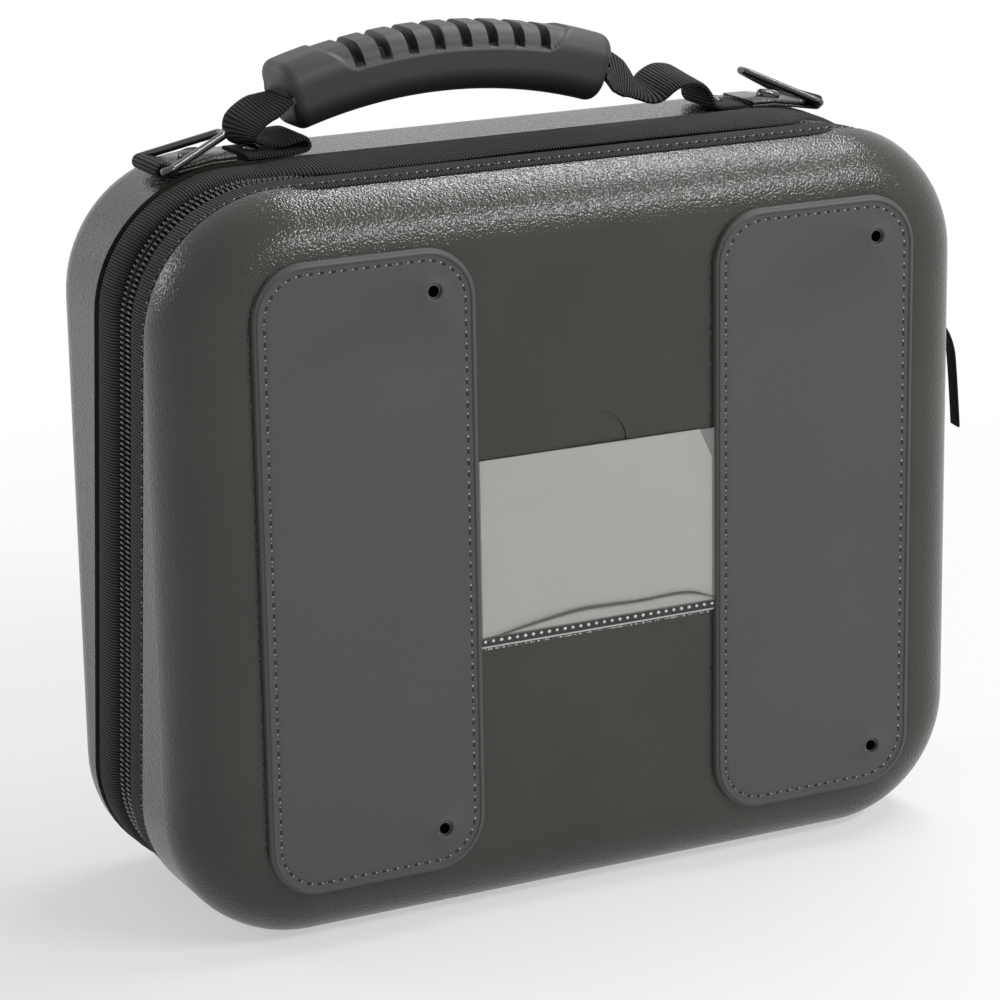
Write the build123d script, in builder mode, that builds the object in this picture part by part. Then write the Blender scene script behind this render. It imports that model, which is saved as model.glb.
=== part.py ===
from build123d import *
import math
import os

# Defibrillator carry case: two moulded shells that meet at a zip which leans forward,
# a webbing handle with a rubber grip, two strap rings, two mounting pads and a card window.
# Front is -Y, up is +Z, and the origin is on the floor below the middle of the case.

os.makedirs("parts", exist_ok=True)

# Driving dimensions, millimetres
case_width = 321.0
case_height = 273.0
case_depth = 119.0
corner_radius = 49.5
front_shoulder = 26.0
back_shoulder = 18.0

shell_wall = 3.0
liner_thickness = 1.8
liner_gap = 0.2
foam_gap = 0.2
foam_back = 8.0

seam_lean = 6.84
seam_front_y = -22.2
groove = 1.2
front_band = 15.8
channel = 14.0
back_band = 15.8
band_recess = 1.0
band_thickness = 2.0
band_lip = 5.0
flange_thickness = 2.0
flange_lap = 6.0

tape_depth = 4.0
tape_thickness = 0.8
tape_split = 2.0
coil_width = 5.0
coil_height = 2.2
coil_split = 1.4
hinge_split = 0.4
hinge_length = 200.0
stop_length = 4.0
stop_height = 2.6

slider_length = 12.0
slider_side_gap = 0.6
slider_corner = 2.5
slider_lift = 0.3
slider_inner_gap = 0.9
slider_plate = 2.5
slider_inner_plate = 1.2
slider_post_width = 0.8
slider_post_length = 3.0
slider_upper_z = 197.0
slider_lower_z = 184.0
lug_thickness = 1.2
lug_half_span = 3.2
lug_reach = 3.6
lug_half_length = 1.6
pull_pin_radius = 0.8
pull_pin_reach = 2.1
running_gap = 0.07
link_width = 2.6
link_radius = 1.9
link_reach = 12.0
link_drop = 6.0
ribbon_width = 6.0
ribbon_thickness = 1.4
ribbon_gap = 0.8
ribbon_bend = 9.0
ribbon_start = 0.6
ribbon_fall = 15.0
ribbon_upper_out = 24.0
ribbon_upper_reach = 31.0
ribbon_upper_drop = 57.0
ribbon_lower_out = 21.0
ribbon_lower_reach = 27.0
ribbon_lower_drop = 45.0

pad_width = 84.0
pad_side_inset = 28.5
pad_end_inset = 22.0
pad_drop = 0.2
pad_corner = 19.5
pad_thickness = 2.5
pad_edge = 0.8
bead_inset = 1.4
bead_radius = 0.5
stitch_inset = 4.0
stitch_groove = 0.9
stitch_depth = 0.4
hole_side_inset = 16.0
hole_end_inset = 15.5
boss_radius = 3.8
boss_height = 0.4
eyelet_radius = 2.6
eyelet_bore = 2.1
eyelet_sink = 0.8
eyelet_flange = 4.2
eyelet_flange_thickness = 0.8
eyelet_gap = 0.05

window_bottom = 103.0
window_top = 171.6
window_tuck = 3.5
window_sheet = 0.5
window_hem = 3.0
card_thickness = 0.5
card_gap = 0.3
card_side = 1.0
thumb_radius = 12.2
thumb_depth = 0.4

carry_y = 22.5
webbing_width = 25.0
webbing_thickness = 2.2
grip_left_inset = 76.3
grip_right_inset = 117.1
grip_width = 28.0
grip_height = 25.5
grip_round = 9.0
grip_end_round = 4.0
grip_end_lift = 19.7
grip_rise = 10.3
grip_bore_gap = 0.25
rib_count = 8
rib_pitch = 10.5
rib_slot = 4.4
rib_depth = 3.0
rib_slot_width = 22.0

anchor_inset = 64.5
anchor_end = 6.0
strap_fold = 1.5
lobe_run = 12.8
lobe_reach = 17.8
lobe_height = 4.9
lobe_slope_bend = 4.0
lobe_bend = 2.2
fold_back = 4.2
fold_height = 3.2
waist_run = 12.6
waist_reach = 23.1
waist_height = 4.6
waist_slope_bend = 6.0
waist_bend = 4.0
crest_start = 31.1
crest_end = 44.6
crest_height = 12.0
crest_bend = 5.0
anchor_head = 2.8
anchor_dome = 1.5
tab_head = 4.6
tab_dome = 2.2
rivet_shank = 1.5
rivet_upset = 3.4
rivet_upset_height = 0.9
rivet_gap = 0.05
rivet_seat = 0.2

tab_width = 23.0
tab_ply = 1.3
tab_start = 5.0
tab_rivet_angle = 9.0
tab_bend_angle = 9.5
tab_tongue = 15.0
ring_wire = 1.5
ring_half_base = 16.0
ring_reach = 29.0
ring_corner = 2.6
ring_bend = 2.0
ring_gap = 0.08
ring_tilt_left = 18.0
ring_tilt_right = 26.0

foam_side = 22.5
foam_end = 21.5
device_corner = 12.0
device_strap_width = 40.0
device_strap_thickness = 1.8
lid_pocket_width = 210.0
lid_pocket_height = 140.0
lid_pocket_thickness = 1.5
lid_pocket_corner = 11.0

# Sizes worked out from the ones above
far = 2 * (case_width + case_height + case_depth)
half_width = case_width / 2
half_depth = case_depth / 2
mid_z = case_height / 2
lean = math.radians(seam_lean)

# Stations across the zip, measured square to the leaning seam from the front shell's edge
band_front_start = groove
channel_start = groove + front_band
seam_middle = channel_start + channel / 2
channel_end = channel_start + channel
back_edge = channel_end + back_band + groove
front_flange_end = channel_start - band_lip
back_flange_start = channel_end + band_lip
flange_inner = shell_wall + flange_thickness
band_inner = band_recess + band_thickness
coil_outer = tape_depth - coil_height
liner_outer = shell_wall + liner_gap
liner_inner = liner_outer + liner_thickness
foam_outer = liner_inner + foam_gap
foam_floor = half_depth - foam_outer - foam_back

seam = Plane(
    origin=(0, seam_front_y, mid_z),
    x_dir=(-1, 0, 0),
    z_dir=(0, math.cos(lean), math.sin(lean)),
)

pad_height = case_height - 2 * pad_end_inset
pad_gap = case_width - 2 * (pad_width + pad_side_inset)
pad_centre_z = mid_z - pad_drop
device_width = case_width - 2 * foam_side
device_height = case_height - 2 * foam_end

flat_x = half_width - corner_radius
corner_z = case_height - corner_radius
pad_x = (pad_gap + pad_width) / 2
pad_front = half_depth + pad_thickness
hole_x = pad_width / 2 - hole_side_inset
hole_z = pad_height / 2 - hole_end_inset
grip_left_x = grip_left_inset - half_width
grip_right_x = half_width - grip_right_inset
grip_length = grip_right_x - grip_left_x
grip_centre_x = (grip_left_x + grip_right_x) / 2
grip_radius = (grip_length**2 / 4 + grip_rise**2) / (2 * grip_rise)
anchor_x = half_width - anchor_inset
grip_slope = math.tan(math.asin(grip_length / 2 / grip_radius))
grip_end_z = case_height + grip_end_lift
ply_z = case_height + webbing_thickness / 2
loop_radius = ring_wire + ring_gap + tab_ply


def seam_y(z, station):
    """Y of a station across the zip, at height z."""
    return seam_front_y + (station - (z - mid_z) * math.sin(lean)) / math.cos(lean)


def block(inset):
    """The whole case as one rounded block, drawn in by inset on every side."""
    with BuildPart() as body:
        with BuildSketch(Plane.XZ.offset(half_depth - inset)):
            with Locations((0, mid_z)):
                RectangleRounded(
                    case_width - 2 * inset, case_height - 2 * inset, corner_radius - inset
                )
        extrude(amount=-(case_depth - 2 * inset))
        fillet(body.faces().sort_by(Axis.Y)[0].edges(), front_shoulder - inset)
        fillet(body.faces().sort_by(Axis.Y)[-1].edges(), back_shoulder - inset)
    return body.part


def slab(start, end):
    """A slice of space between two stations across the zip."""
    with BuildPart() as space:
        with BuildSketch(seam.offset(start)):
            Rectangle(far, far)
        extrude(amount=end - start)
    return space.part


def ring(outer_inset, inner_inset, start, end):
    """A band that runs round the case between two insets and two stations."""
    with BuildPart() as band:
        add(block(outer_inset))
        add(block(inner_inset), mode=Mode.SUBTRACT)
        add(slab(start, end), mode=Mode.INTERSECT)
    return band.part


def corner_plane(side, angle, out=0.0):
    """Plane on a top corner of the shell, turned outwards from the flat by an angle in degrees."""
    turn = math.radians(angle)
    return Plane(
        origin=(
            side * (flat_x + (corner_radius + out) * math.sin(turn)),
            carry_y,
            corner_z + (corner_radius + out) * math.cos(turn),
        ),
        x_dir=(side * math.cos(turn), 0, -math.sin(turn)),
        z_dir=(side * math.sin(turn), 0, math.cos(turn)),
    )


def anchor_plane(side):
    """Plane on the flat top of the shell at a strap rivet."""
    return Plane(origin=(side * anchor_x, carry_y, case_height), x_dir=(side, 0, 0), z_dir=(0, 0, 1))


def top_holes(radius, depth):
    """Cutters for the four rivets that go down through the top of the back shell."""
    with BuildPart() as cutters:
        for side in (-1, 1):
            for plane in (anchor_plane(side), corner_plane(side, tab_rivet_angle)):
                with BuildSketch(plane.offset(depth / 2)):
                    Circle(radius)
                extrude(amount=-depth)
    return cutters.part


def pad_hole_points():
    """Centres of the four pad holes, in X and Z."""
    return [
        (side * pad_x + hole_x, pad_centre_z + end * hole_z) for side in (-1, 1) for end in (-1, 1)
    ]


def front_holes(radius, start_y, length):
    """Cylinders along Y at the four pad holes, from start_y towards the back."""
    with BuildPart() as cutters:
        with BuildSketch(Plane.XZ.offset(-start_y)):
            with Locations(pad_hole_points()):
                Circle(radius)
        extrude(amount=-length)
    return cutters.part


def device_space():
    """The room that the two foam trays leave for the defibrillator."""
    with BuildPart() as room:
        with BuildSketch(Plane.XZ.offset(foam_floor)):
            with Locations((0, mid_z)):
                RectangleRounded(device_width, device_height, device_corner)
        extrude(amount=-2 * foam_floor)
    return room.part


def side_plane(z, station):
    """Plane on the right side wall: X across the zip, Y up along it, Z outwards."""
    return Plane(
        origin=(half_width, seam_y(z, station), z),
        x_dir=(0, math.cos(lean), math.sin(lean)),
        z_dir=(1, 0, 0),
    )


def pull_plane(z, shift):
    """Plane square to the zip at the right side: X outwards, Y up along the zip."""
    return Plane(
        origin=(half_width, seam_y(z, seam_middle), z),
        x_dir=(1, 0, 0),
        z_dir=(0, -math.cos(lean), -math.sin(lean)),
    ).offset(-shift)


# Moulded shells, each with a thinner flange that steps in under the zip binding
with BuildPart() as front_shell:
    add(block(0))
    add(block(shell_wall), mode=Mode.SUBTRACT)
    add(slab(-far / 2, 0), mode=Mode.INTERSECT)
    add(ring(shell_wall, flange_inner, -flange_lap, front_flange_end))
    add(front_holes(eyelet_radius + eyelet_gap, -half_depth - 1, shell_wall + 2), mode=Mode.SUBTRACT)
    add(
        front_holes(eyelet_flange + eyelet_gap, -half_depth + shell_wall, eyelet_flange_thickness + liner_gap),
        mode=Mode.SUBTRACT,
    )
    with BuildSketch(Plane.XZ.offset(half_depth)):
        with Locations((0, window_top)):
            Circle(thumb_radius)
            Rectangle(2 * thumb_radius, thumb_radius, align=(Align.CENTER, Align.MAX), mode=Mode.SUBTRACT)
    extrude(amount=-thumb_depth, mode=Mode.SUBTRACT)
front_shell.part.label = "front_shell"

with BuildPart() as back_shell:
    add(block(0))
    add(block(shell_wall), mode=Mode.SUBTRACT)
    add(slab(back_edge, far / 2), mode=Mode.INTERSECT)
    add(ring(shell_wall, flange_inner, back_flange_start, back_edge + flange_lap))
    add(top_holes(rivet_shank + rivet_gap, 4 * shell_wall), mode=Mode.SUBTRACT)
back_shell.part.label = "back_shell"

# Fabric liners glued inside the shells
with BuildPart() as front_liner:
    add(block(liner_outer))
    add(block(liner_inner), mode=Mode.SUBTRACT)
    add(slab(-far / 2, -flange_lap - foam_gap), mode=Mode.INTERSECT)
    add(
        front_holes(eyelet_flange + liner_gap, -half_depth, liner_inner + liner_gap),
        mode=Mode.SUBTRACT,
    )
front_liner.part.label = "front_liner"

with BuildPart() as back_liner:
    add(block(liner_outer))
    add(block(liner_inner), mode=Mode.SUBTRACT)
    add(slab(back_edge + flange_lap + foam_gap, far / 2), mode=Mode.INTERSECT)
    add(top_holes(rivet_upset + liner_gap, 4 * shell_wall), mode=Mode.SUBTRACT)
back_liner.part.label = "back_liner"

# Foam trays that hold the defibrillator from both sides
with BuildPart() as front_foam:
    add(block(foam_outer))
    add(slab(-far / 2, -flange_lap - 2 * foam_gap), mode=Mode.INTERSECT)
    add(device_space(), mode=Mode.SUBTRACT)
front_foam.part.label = "front_foam"

with BuildPart() as back_foam:
    add(block(foam_outer))
    add(slab(back_edge + flange_lap + 2 * foam_gap, far / 2), mode=Mode.INTERSECT)
    add(device_space(), mode=Mode.SUBTRACT)
back_foam.part.label = "back_foam"

# Ribbed bindings sewn on the flanges, each with a lip that turns down to the zip tape
with BuildPart() as front_binding:
    add(ring(band_recess, band_inner, band_front_start, channel_start))
    add(ring(band_inner, tape_depth, front_flange_end, channel_start))
front_binding.part.label = "front_binding"

with BuildPart() as back_binding:
    add(ring(band_recess, band_inner, channel_end, back_edge - groove))
    add(ring(band_inner, tape_depth, channel_end, back_flange_start))
back_binding.part.label = "back_binding"

# Zip tapes, coils, hinge strips and end stops
tape_inner = tape_depth + tape_thickness
with BuildPart() as front_zip_tape:
    add(ring(tape_depth, tape_inner, front_flange_end, seam_middle - tape_split / 2))
front_zip_tape.part.label = "front_zip_tape"

with BuildPart() as back_zip_tape:
    add(ring(tape_depth, tape_inner, seam_middle + tape_split / 2, back_flange_start))
back_zip_tape.part.label = "back_zip_tape"


def zip_coil(start, end):
    """One coil of the zip, left out along the hinge at the bottom."""
    with BuildPart() as coil:
        add(ring(coil_outer, tape_depth, start, end))
        with BuildSketch(Plane.XY):
            Rectangle(hinge_length + 2 * stop_length, far)
        extrude(amount=mid_z, mode=Mode.SUBTRACT)
    return coil.part


def bottom_strip(outer_inset, length, start, end):
    """Straight strip on the bottom run of the zip tape."""
    with BuildPart() as strip:
        with BuildSketch(Plane.XY.offset(outer_inset)):
            with Locations((0, seam_y(0, seam_middle))):
                Rectangle(length, 4 * channel)
        extrude(amount=tape_depth - outer_inset)
        add(slab(start, end), mode=Mode.INTERSECT)
    return strip.part


coil_front_end = seam_middle - coil_split / 2
coil_back_start = seam_middle + coil_split / 2
with BuildPart() as front_zip_coil:
    add(zip_coil(coil_front_end - coil_width, coil_front_end))
front_zip_coil.part.label = "front_zip_coil"

with BuildPart() as back_zip_coil:
    add(zip_coil(coil_back_start, coil_back_start + coil_width))
back_zip_coil.part.label = "back_zip_coil"

with BuildPart() as hinge_strip_front:
    add(
        bottom_strip(
            coil_outer, hinge_length, channel_start + hinge_split, seam_middle - hinge_split / 2
        )
    )
hinge_strip_front.part.label = "hinge_strip_front"

with BuildPart() as hinge_strip_back:
    add(
        bottom_strip(
            coil_outer, hinge_length, seam_middle + hinge_split / 2, channel_end - hinge_split
        )
    )
hinge_strip_back.part.label = "hinge_strip_back"


def end_stops(start, end):
    """Two crimped stops, one at each end of a coil."""
    with BuildPart() as stops:
        add(bottom_strip(tape_depth - stop_height, hinge_length + 2 * stop_length, start, end))
        with BuildSketch(Plane.XY):
            Rectangle(hinge_length + stop_length / 2, far)
        extrude(amount=mid_z, mode=Mode.SUBTRACT)
    return stops.part


with BuildPart() as zip_stops_front:
    add(end_stops(coil_front_end - coil_width, coil_front_end))
zip_stops_front.part.label = "zip_stops_front"

with BuildPart() as zip_stops_back:
    add(end_stops(coil_back_start, coil_back_start + coil_width))
zip_stops_back.part.label = "zip_stops_back"


def zip_slider(z):
    """Slider: outer and inner plates joined by a thin post, and two lugs with the pull's pin."""
    outer_face = -coil_outer + slider_lift
    plate_width = channel - 2 * slider_side_gap
    with BuildPart() as slider:
        with BuildSketch(side_plane(z, seam_middle).offset(outer_face)):
            RectangleRounded(plate_width, slider_length, slider_corner)
        extrude(amount=slider_plate)
        with BuildSketch(side_plane(z, seam_middle).offset(-tape_inner - slider_inner_gap)):
            RectangleRounded(plate_width, slider_length, slider_corner)
        extrude(amount=-slider_inner_plate)
        with BuildSketch(side_plane(z, seam_middle).offset(-tape_inner - slider_inner_gap)):
            Rectangle(slider_post_width, slider_post_length)
        extrude(amount=tape_inner + slider_inner_gap + outer_face)
        with BuildSketch(side_plane(z, seam_middle).offset(outer_face + slider_plate)):
            with Locations((-lug_half_span - lug_thickness / 2, 0), (lug_half_span + lug_thickness / 2, 0)):
                Rectangle(lug_thickness, 2 * lug_half_length)
        extrude(amount=lug_reach)
        with BuildSketch(pull_plane(z, 0)):
            with Locations((outer_face + slider_plate + pull_pin_reach, 0)):
                Circle(pull_pin_radius)
        extrude(amount=lug_half_span + lug_thickness / 2, both=True)
    return slider.part


def pull_link(z, shift):
    """Flat metal link that swings on the slider's pin."""
    pin_x = -coil_outer + slider_lift + slider_plate + pull_pin_reach
    with BuildPart() as link:
        with BuildSketch(pull_plane(z, shift)):
            with Locations((pin_x, 0)):
                Circle(link_radius)
            with BuildLine():
                Polyline(
                    (pin_x, link_radius), (link_reach, -link_drop + link_radius / 2),
                    (link_reach, -link_drop - link_radius / 2), (pin_x, -link_radius), close=True,
                )
            make_face()
            with Locations((pin_x, 0)):
                Circle(pull_pin_radius + running_gap, mode=Mode.SUBTRACT)
        extrude(amount=link_width / 2, both=True)
    return link.part


def ribbon(z, shift, points):
    """Stiff ribbon tail from the link, out and then down, given as (outwards, along) points."""
    plane = pull_plane(z, shift)
    with BuildPart() as tail:
        with BuildLine(plane) as route:
            FilletPolyline(*points, radius=ribbon_bend)
        start = Plane(origin=route.line @ 0, x_dir=plane.z_dir, z_dir=route.line % 0)
        with BuildSketch(start):
            Rectangle(ribbon_width, ribbon_thickness)
        sweep()
    return tail.part


pull_shift = (ribbon_width + ribbon_gap) / 2
link_shift = (link_width + ribbon_gap) / 2
for name, z, side, bend, tip in (
    (
        "upper", slider_upper_z, -1,
        (ribbon_upper_out, -ribbon_fall), (ribbon_upper_reach, -ribbon_upper_drop),
    ),
    (
        "lower", slider_lower_z, 1,
        (ribbon_lower_out, -ribbon_fall), (ribbon_lower_reach, -ribbon_lower_drop),
    ),
):
    with BuildPart() as slider_body:
        add(zip_slider(z))
    slider_body.part.label = f"slider_{name}"
    export_step(slider_body.part, f"parts/slider_{name}.step")

    with BuildPart() as link_body:
        add(pull_link(z, side * link_shift))
    link_body.part.label = f"pull_link_{name}"
    export_step(link_body.part, f"parts/pull_link_{name}.step")

    with BuildPart() as ribbon_body:
        add(ribbon(z, side * pull_shift, [(link_reach + ribbon_start, -link_drop), bend, tip]))
    ribbon_body.part.label = f"ribbon_{name}"
    export_step(ribbon_body.part, f"parts/ribbon_{name}.step")


def mounting_pad(centre_x, window_side):
    """Rubber pad sewn on the front, with a bead round its rim and a boss at each hole."""
    with BuildPart() as pad:
        with BuildSketch(Plane.XZ.offset(half_depth)):
            with Locations((centre_x, pad_centre_z)):
                RectangleRounded(pad_width, pad_height, pad_corner)
        extrude(amount=pad_thickness)
        fillet(pad.faces().sort_by(Axis.Y)[0].edges(), pad_edge)
        with BuildSketch(Plane.XZ.offset(pad_front)):
            with Locations((centre_x, pad_centre_z)):
                RectangleRounded(
                    pad_width - 2 * bead_inset, pad_height - 2 * bead_inset, pad_corner - bead_inset
                )
                RectangleRounded(
                    pad_width - 2 * bead_inset - 2 * bead_radius,
                    pad_height - 2 * bead_inset - 2 * bead_radius,
                    pad_corner - bead_inset - bead_radius,
                    mode=Mode.SUBTRACT,
                )
        extrude(amount=bead_radius)
        with BuildSketch(Plane.XZ.offset(pad_front)):
            with Locations((centre_x, pad_centre_z)):
                RectangleRounded(
                    pad_width - 2 * stitch_inset, pad_height - 2 * stitch_inset, pad_corner - stitch_inset
                )
                RectangleRounded(
                    pad_width - 2 * stitch_inset - 2 * stitch_groove,
                    pad_height - 2 * stitch_inset - 2 * stitch_groove,
                    pad_corner - stitch_inset - stitch_groove,
                    mode=Mode.SUBTRACT,
                )
        extrude(amount=-stitch_depth, mode=Mode.SUBTRACT)
        with BuildSketch(Plane.XZ.offset(pad_front)):
            with Locations([(centre_x + hole_x, pad_centre_z + end * hole_z) for end in (-1, 1)]):
                Circle(boss_radius)
        extrude(amount=boss_height)
        add(
            front_holes(eyelet_radius + eyelet_gap, -pad_front - 1, pad_thickness + 2),
            mode=Mode.SUBTRACT,
        )
        # rebate under the edge that the window sheet tucks into
        with BuildSketch(Plane.XZ.offset(half_depth)):
            with Locations((window_side * pad_gap / 2, (window_top + window_bottom) / 2)):
                Rectangle(2 * (window_tuck + card_gap), window_top - window_bottom + 2 * card_gap)
        extrude(amount=2 * card_gap + card_thickness + window_sheet + card_gap, mode=Mode.SUBTRACT)
    return pad.part


with BuildPart() as left_pad:
    add(mounting_pad(-pad_x, -1))
left_pad.part.label = "left_pad"

with BuildPart() as right_pad:
    add(mounting_pad(pad_x, 1))
right_pad.part.label = "right_pad"

# Tubular eyelets that hold the pads and take the bracket screws
with BuildPart() as pad_eyelets:
    add(front_holes(eyelet_radius, -pad_front + eyelet_sink, pad_thickness - eyelet_sink + shell_wall))
    add(front_holes(eyelet_flange, -half_depth + shell_wall, eyelet_flange_thickness))
    add(front_holes(eyelet_bore, -pad_front, pad_thickness + 2 * shell_wall), mode=Mode.SUBTRACT)
pad_eyelets.part.label = "pad_eyelets"

# Clear card window, open at the top, and the plain card that slides in it
window_depth = 2 * card_gap + card_thickness + window_sheet
with BuildPart() as card_window:
    with BuildSketch(Plane.XZ.offset(half_depth)):
        with Locations((0, (window_top + window_bottom) / 2)):
            Rectangle(pad_gap + 2 * window_tuck, window_top - window_bottom)
    extrude(amount=window_depth)
    with BuildSketch(Plane.XZ.offset(half_depth)):
        with Locations((0, window_bottom + window_hem)):
            Rectangle(pad_gap, far, align=(Align.CENTER, Align.MIN))
    extrude(amount=window_depth - window_sheet, mode=Mode.SUBTRACT)
card_window.part.label = "card_window"

with BuildPart() as card_insert:
    with BuildSketch(Plane.XZ.offset(half_depth + card_gap)):
        with Locations((0, window_bottom + window_hem + card_gap)):
            Rectangle(
                pad_gap - 2 * card_side,
                window_top - window_bottom - window_hem - card_gap,
                align=(Align.CENTER, Align.MIN),
            )
    extrude(amount=card_thickness)
card_insert.part.label = "card_insert"

# Handle: rubber grip moulded round a webbing strap
carry_plane = Plane(origin=(0, carry_y, 0), x_dir=(1, 0, 0), z_dir=(0, -1, 0))


def along_grip(width, height, radius):
    """Sweep of a rounded section along the grip's shallow arch."""
    with BuildPart() as body:
        with BuildLine(carry_plane) as arch:
            ThreePointArc(
                (grip_left_x, grip_end_z), (grip_centre_x, grip_end_z + grip_rise), (grip_right_x, grip_end_z)
            )
        with BuildSketch(Plane(origin=arch.line @ 0, x_dir=(0, 1, 0), z_dir=arch.line % 0)):
            if radius > 0:
                RectangleRounded(width, height, radius)
            else:
                Rectangle(width, height)
        sweep()
    return body.part


with BuildPart() as handle_grip:
    add(along_grip(grip_width, grip_height, grip_round))
    fillet(
        handle_grip.faces().sort_by(Axis.X)[0].edges() + handle_grip.faces().sort_by(Axis.X)[-1].edges(),
        grip_end_round,
    )
    add(
        along_grip(webbing_width + 2 * grip_bore_gap, webbing_thickness + 2 * grip_bore_gap, 0),
        mode=Mode.SUBTRACT,
    )
    arch_centre_z = grip_end_z + grip_rise - grip_radius
    rib_angle = math.degrees(rib_pitch / (grip_radius + grip_height / 2))
    for index in range(rib_count):
        turn = (index - (rib_count - 1) / 2) * rib_angle
        slot_plane = Plane(
            origin=(grip_centre_x, carry_y, arch_centre_z),
            x_dir=(math.cos(math.radians(turn)), 0, -math.sin(math.radians(turn))),
            z_dir=(math.sin(math.radians(turn)), 0, math.cos(math.radians(turn))),
        )
        with BuildSketch(slot_plane.offset(grip_radius + grip_height / 2 + 1)):
            SlotOverall(rib_slot_width, rib_slot, rotation=90)
        extrude(amount=-rib_depth - 1, mode=Mode.SUBTRACT)
handle_grip.part.label = "handle_grip"

with BuildPart() as handle_webbing:
    add(along_grip(webbing_width, webbing_thickness, 0))
handle_webbing.part.label = "handle_webbing"


def strap(points, radii):
    """Flat webbing swept along a bent route in X and Z."""
    with BuildPart() as body:
        with BuildLine(carry_plane) as route:
            FilletPolyline(*points, radius=radii)
        with BuildSketch(Plane(origin=route.line @ 0, x_dir=(0, 1, 0), z_dir=route.line % 0)):
            Rectangle(webbing_width, webbing_thickness)
        sweep()
        add(top_holes(rivet_shank + rivet_gap, 4 * shell_wall), mode=Mode.SUBTRACT)
    return body.part


with BuildPart() as handle_strap_left:
    add(
        strap(
            [
                (grip_left_x, grip_end_z),
                (grip_left_x - lobe_run, grip_end_z - lobe_run * grip_slope),
                (grip_left_x - lobe_reach, ply_z + lobe_height),
                (grip_left_x + fold_back, ply_z + fold_height),
                (grip_left_x + fold_back, ply_z),
                (-anchor_x - anchor_end, ply_z),
            ],
            [lobe_slope_bend, lobe_bend, strap_fold, strap_fold],
        )
    )
handle_strap_left.part.label = "handle_strap_left"

with BuildPart() as handle_strap_right:
    add(
        strap(
            [
                (grip_right_x, grip_end_z),
                (grip_right_x + waist_run, grip_end_z - waist_run * grip_slope),
                (grip_right_x + waist_reach, ply_z + waist_height),
                (grip_right_x + crest_start, ply_z + crest_height),
                (grip_right_x + crest_end, ply_z + crest_height),
                (grip_right_x + crest_end, ply_z),
                (anchor_x + anchor_end, ply_z),
            ],
            [waist_slope_bend, waist_bend, waist_bend, crest_bend, strap_fold],
        )
    )
handle_strap_right.part.label = "handle_strap_right"


def rivet(plane, grip, head, dome):
    """Domed rivet down through the top at a plane on the shell, headed above a given stack."""
    inside = -shell_wall - rivet_seat
    with BuildPart() as body:
        with BuildSketch(plane.offset(inside - rivet_upset_height)):
            Circle(rivet_upset)
        extrude(amount=rivet_upset_height)
        with BuildSketch(plane.offset(inside)):
            Circle(rivet_shank)
        extrude(amount=grip - inside)
        with BuildSketch(plane.offset(grip)):
            Circle(head)
        extrude(amount=dome)
        fillet(body.faces().sort_by(Axis(plane.origin, plane.z_dir))[-1].edges(), dome * 0.9)
    return body.part


with BuildPart() as strap_rivets:
    for side in (-1, 1):
        add(rivet(anchor_plane(side), webbing_thickness, anchor_head, anchor_dome))
strap_rivets.part.label = "strap_rivets"

with BuildPart() as tab_rivets:
    for side in (-1, 1):
        add(rivet(corner_plane(side, tab_rivet_angle), 2 * tab_ply, tab_head, tab_dome))
tab_rivets.part.label = "tab_rivets"


def ring_centre(side):
    """Centre of the ring's bar, at the end of the tab's tongue."""
    plane = corner_plane(side, tab_bend_angle)
    return plane.origin + plane.x_dir * tab_tongue + plane.z_dir * loop_radius


def ring_tab(side):
    """Webbing tab on the shell's corner, folded round the ring's bar and back over itself."""
    bend = corner_plane(side, tab_bend_angle)
    with BuildPart() as tab:
        with BuildSketch(Plane.XZ.offset(-carry_y)):
            with BuildLine():
                Line((side * flat_x, case_height), (side * (flat_x - tab_start), case_height))
                Line(
                    (side * (flat_x - tab_start), case_height),
                    (side * (flat_x - tab_start), case_height + 2 * tab_ply),
                )
                Line(
                    (side * (flat_x - tab_start), case_height + 2 * tab_ply),
                    (side * flat_x, case_height + 2 * tab_ply),
                )
                outer = [corner_plane(side, tab_bend_angle * part / 2, 2 * tab_ply).origin for part in (0, 1, 2)]
                ThreePointArc(*[(point.X, point.Z) for point in outer])
                inner = [corner_plane(side, tab_bend_angle * part / 2).origin for part in (2, 1, 0)]
                Line((outer[-1].X, outer[-1].Z), (inner[0].X, inner[0].Z))
                ThreePointArc(*[(point.X, point.Z) for point in inner])
            make_face()
        extrude(amount=tab_width / 2, both=True)
        with BuildSketch(Plane(origin=bend.origin, x_dir=bend.x_dir, z_dir=(0, -side, 0))):
            with BuildLine():
                Polyline(
                    (0, 0), (tab_tongue, 0), (tab_tongue, loop_radius),
                    (tab_tongue - loop_radius, 2 * tab_ply), (0, 2 * tab_ply), close=True,
                )
            make_face()
            with Locations((tab_tongue, loop_radius)):
                Circle(loop_radius)
                Circle(ring_wire + ring_gap, mode=Mode.SUBTRACT)
        extrude(amount=tab_width / 2, both=True)
        add(top_holes(rivet_shank + rivet_gap, 4 * shell_wall), mode=Mode.SUBTRACT)
    return tab.part


def strap_ring(side, tilt):
    """Wire ring, a triangle with round corners, lying inwards at its resting tilt."""
    lift = math.radians(tilt)
    plane = Plane(
        origin=ring_centre(side),
        x_dir=(-side * math.cos(lift), 0, math.sin(lift)),
        z_dir=(side * math.sin(lift), 0, math.cos(lift)),
    )
    with BuildPart() as wire:
        with BuildLine(plane) as route:
            FilletPolyline(
                (0, -ring_half_base), (ring_reach, -ring_corner), (ring_reach, ring_corner),
                (0, ring_half_base), close=True, radius=ring_bend,
            )
        with BuildSketch(Plane(origin=route.line @ 0, z_dir=route.line % 0)):
            Circle(ring_wire)
        sweep()
    return wire.part


with BuildPart() as ring_tab_left:
    add(ring_tab(-1))
ring_tab_left.part.label = "ring_tab_left"

with BuildPart() as ring_tab_right:
    add(ring_tab(1))
ring_tab_right.part.label = "ring_tab_right"

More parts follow.
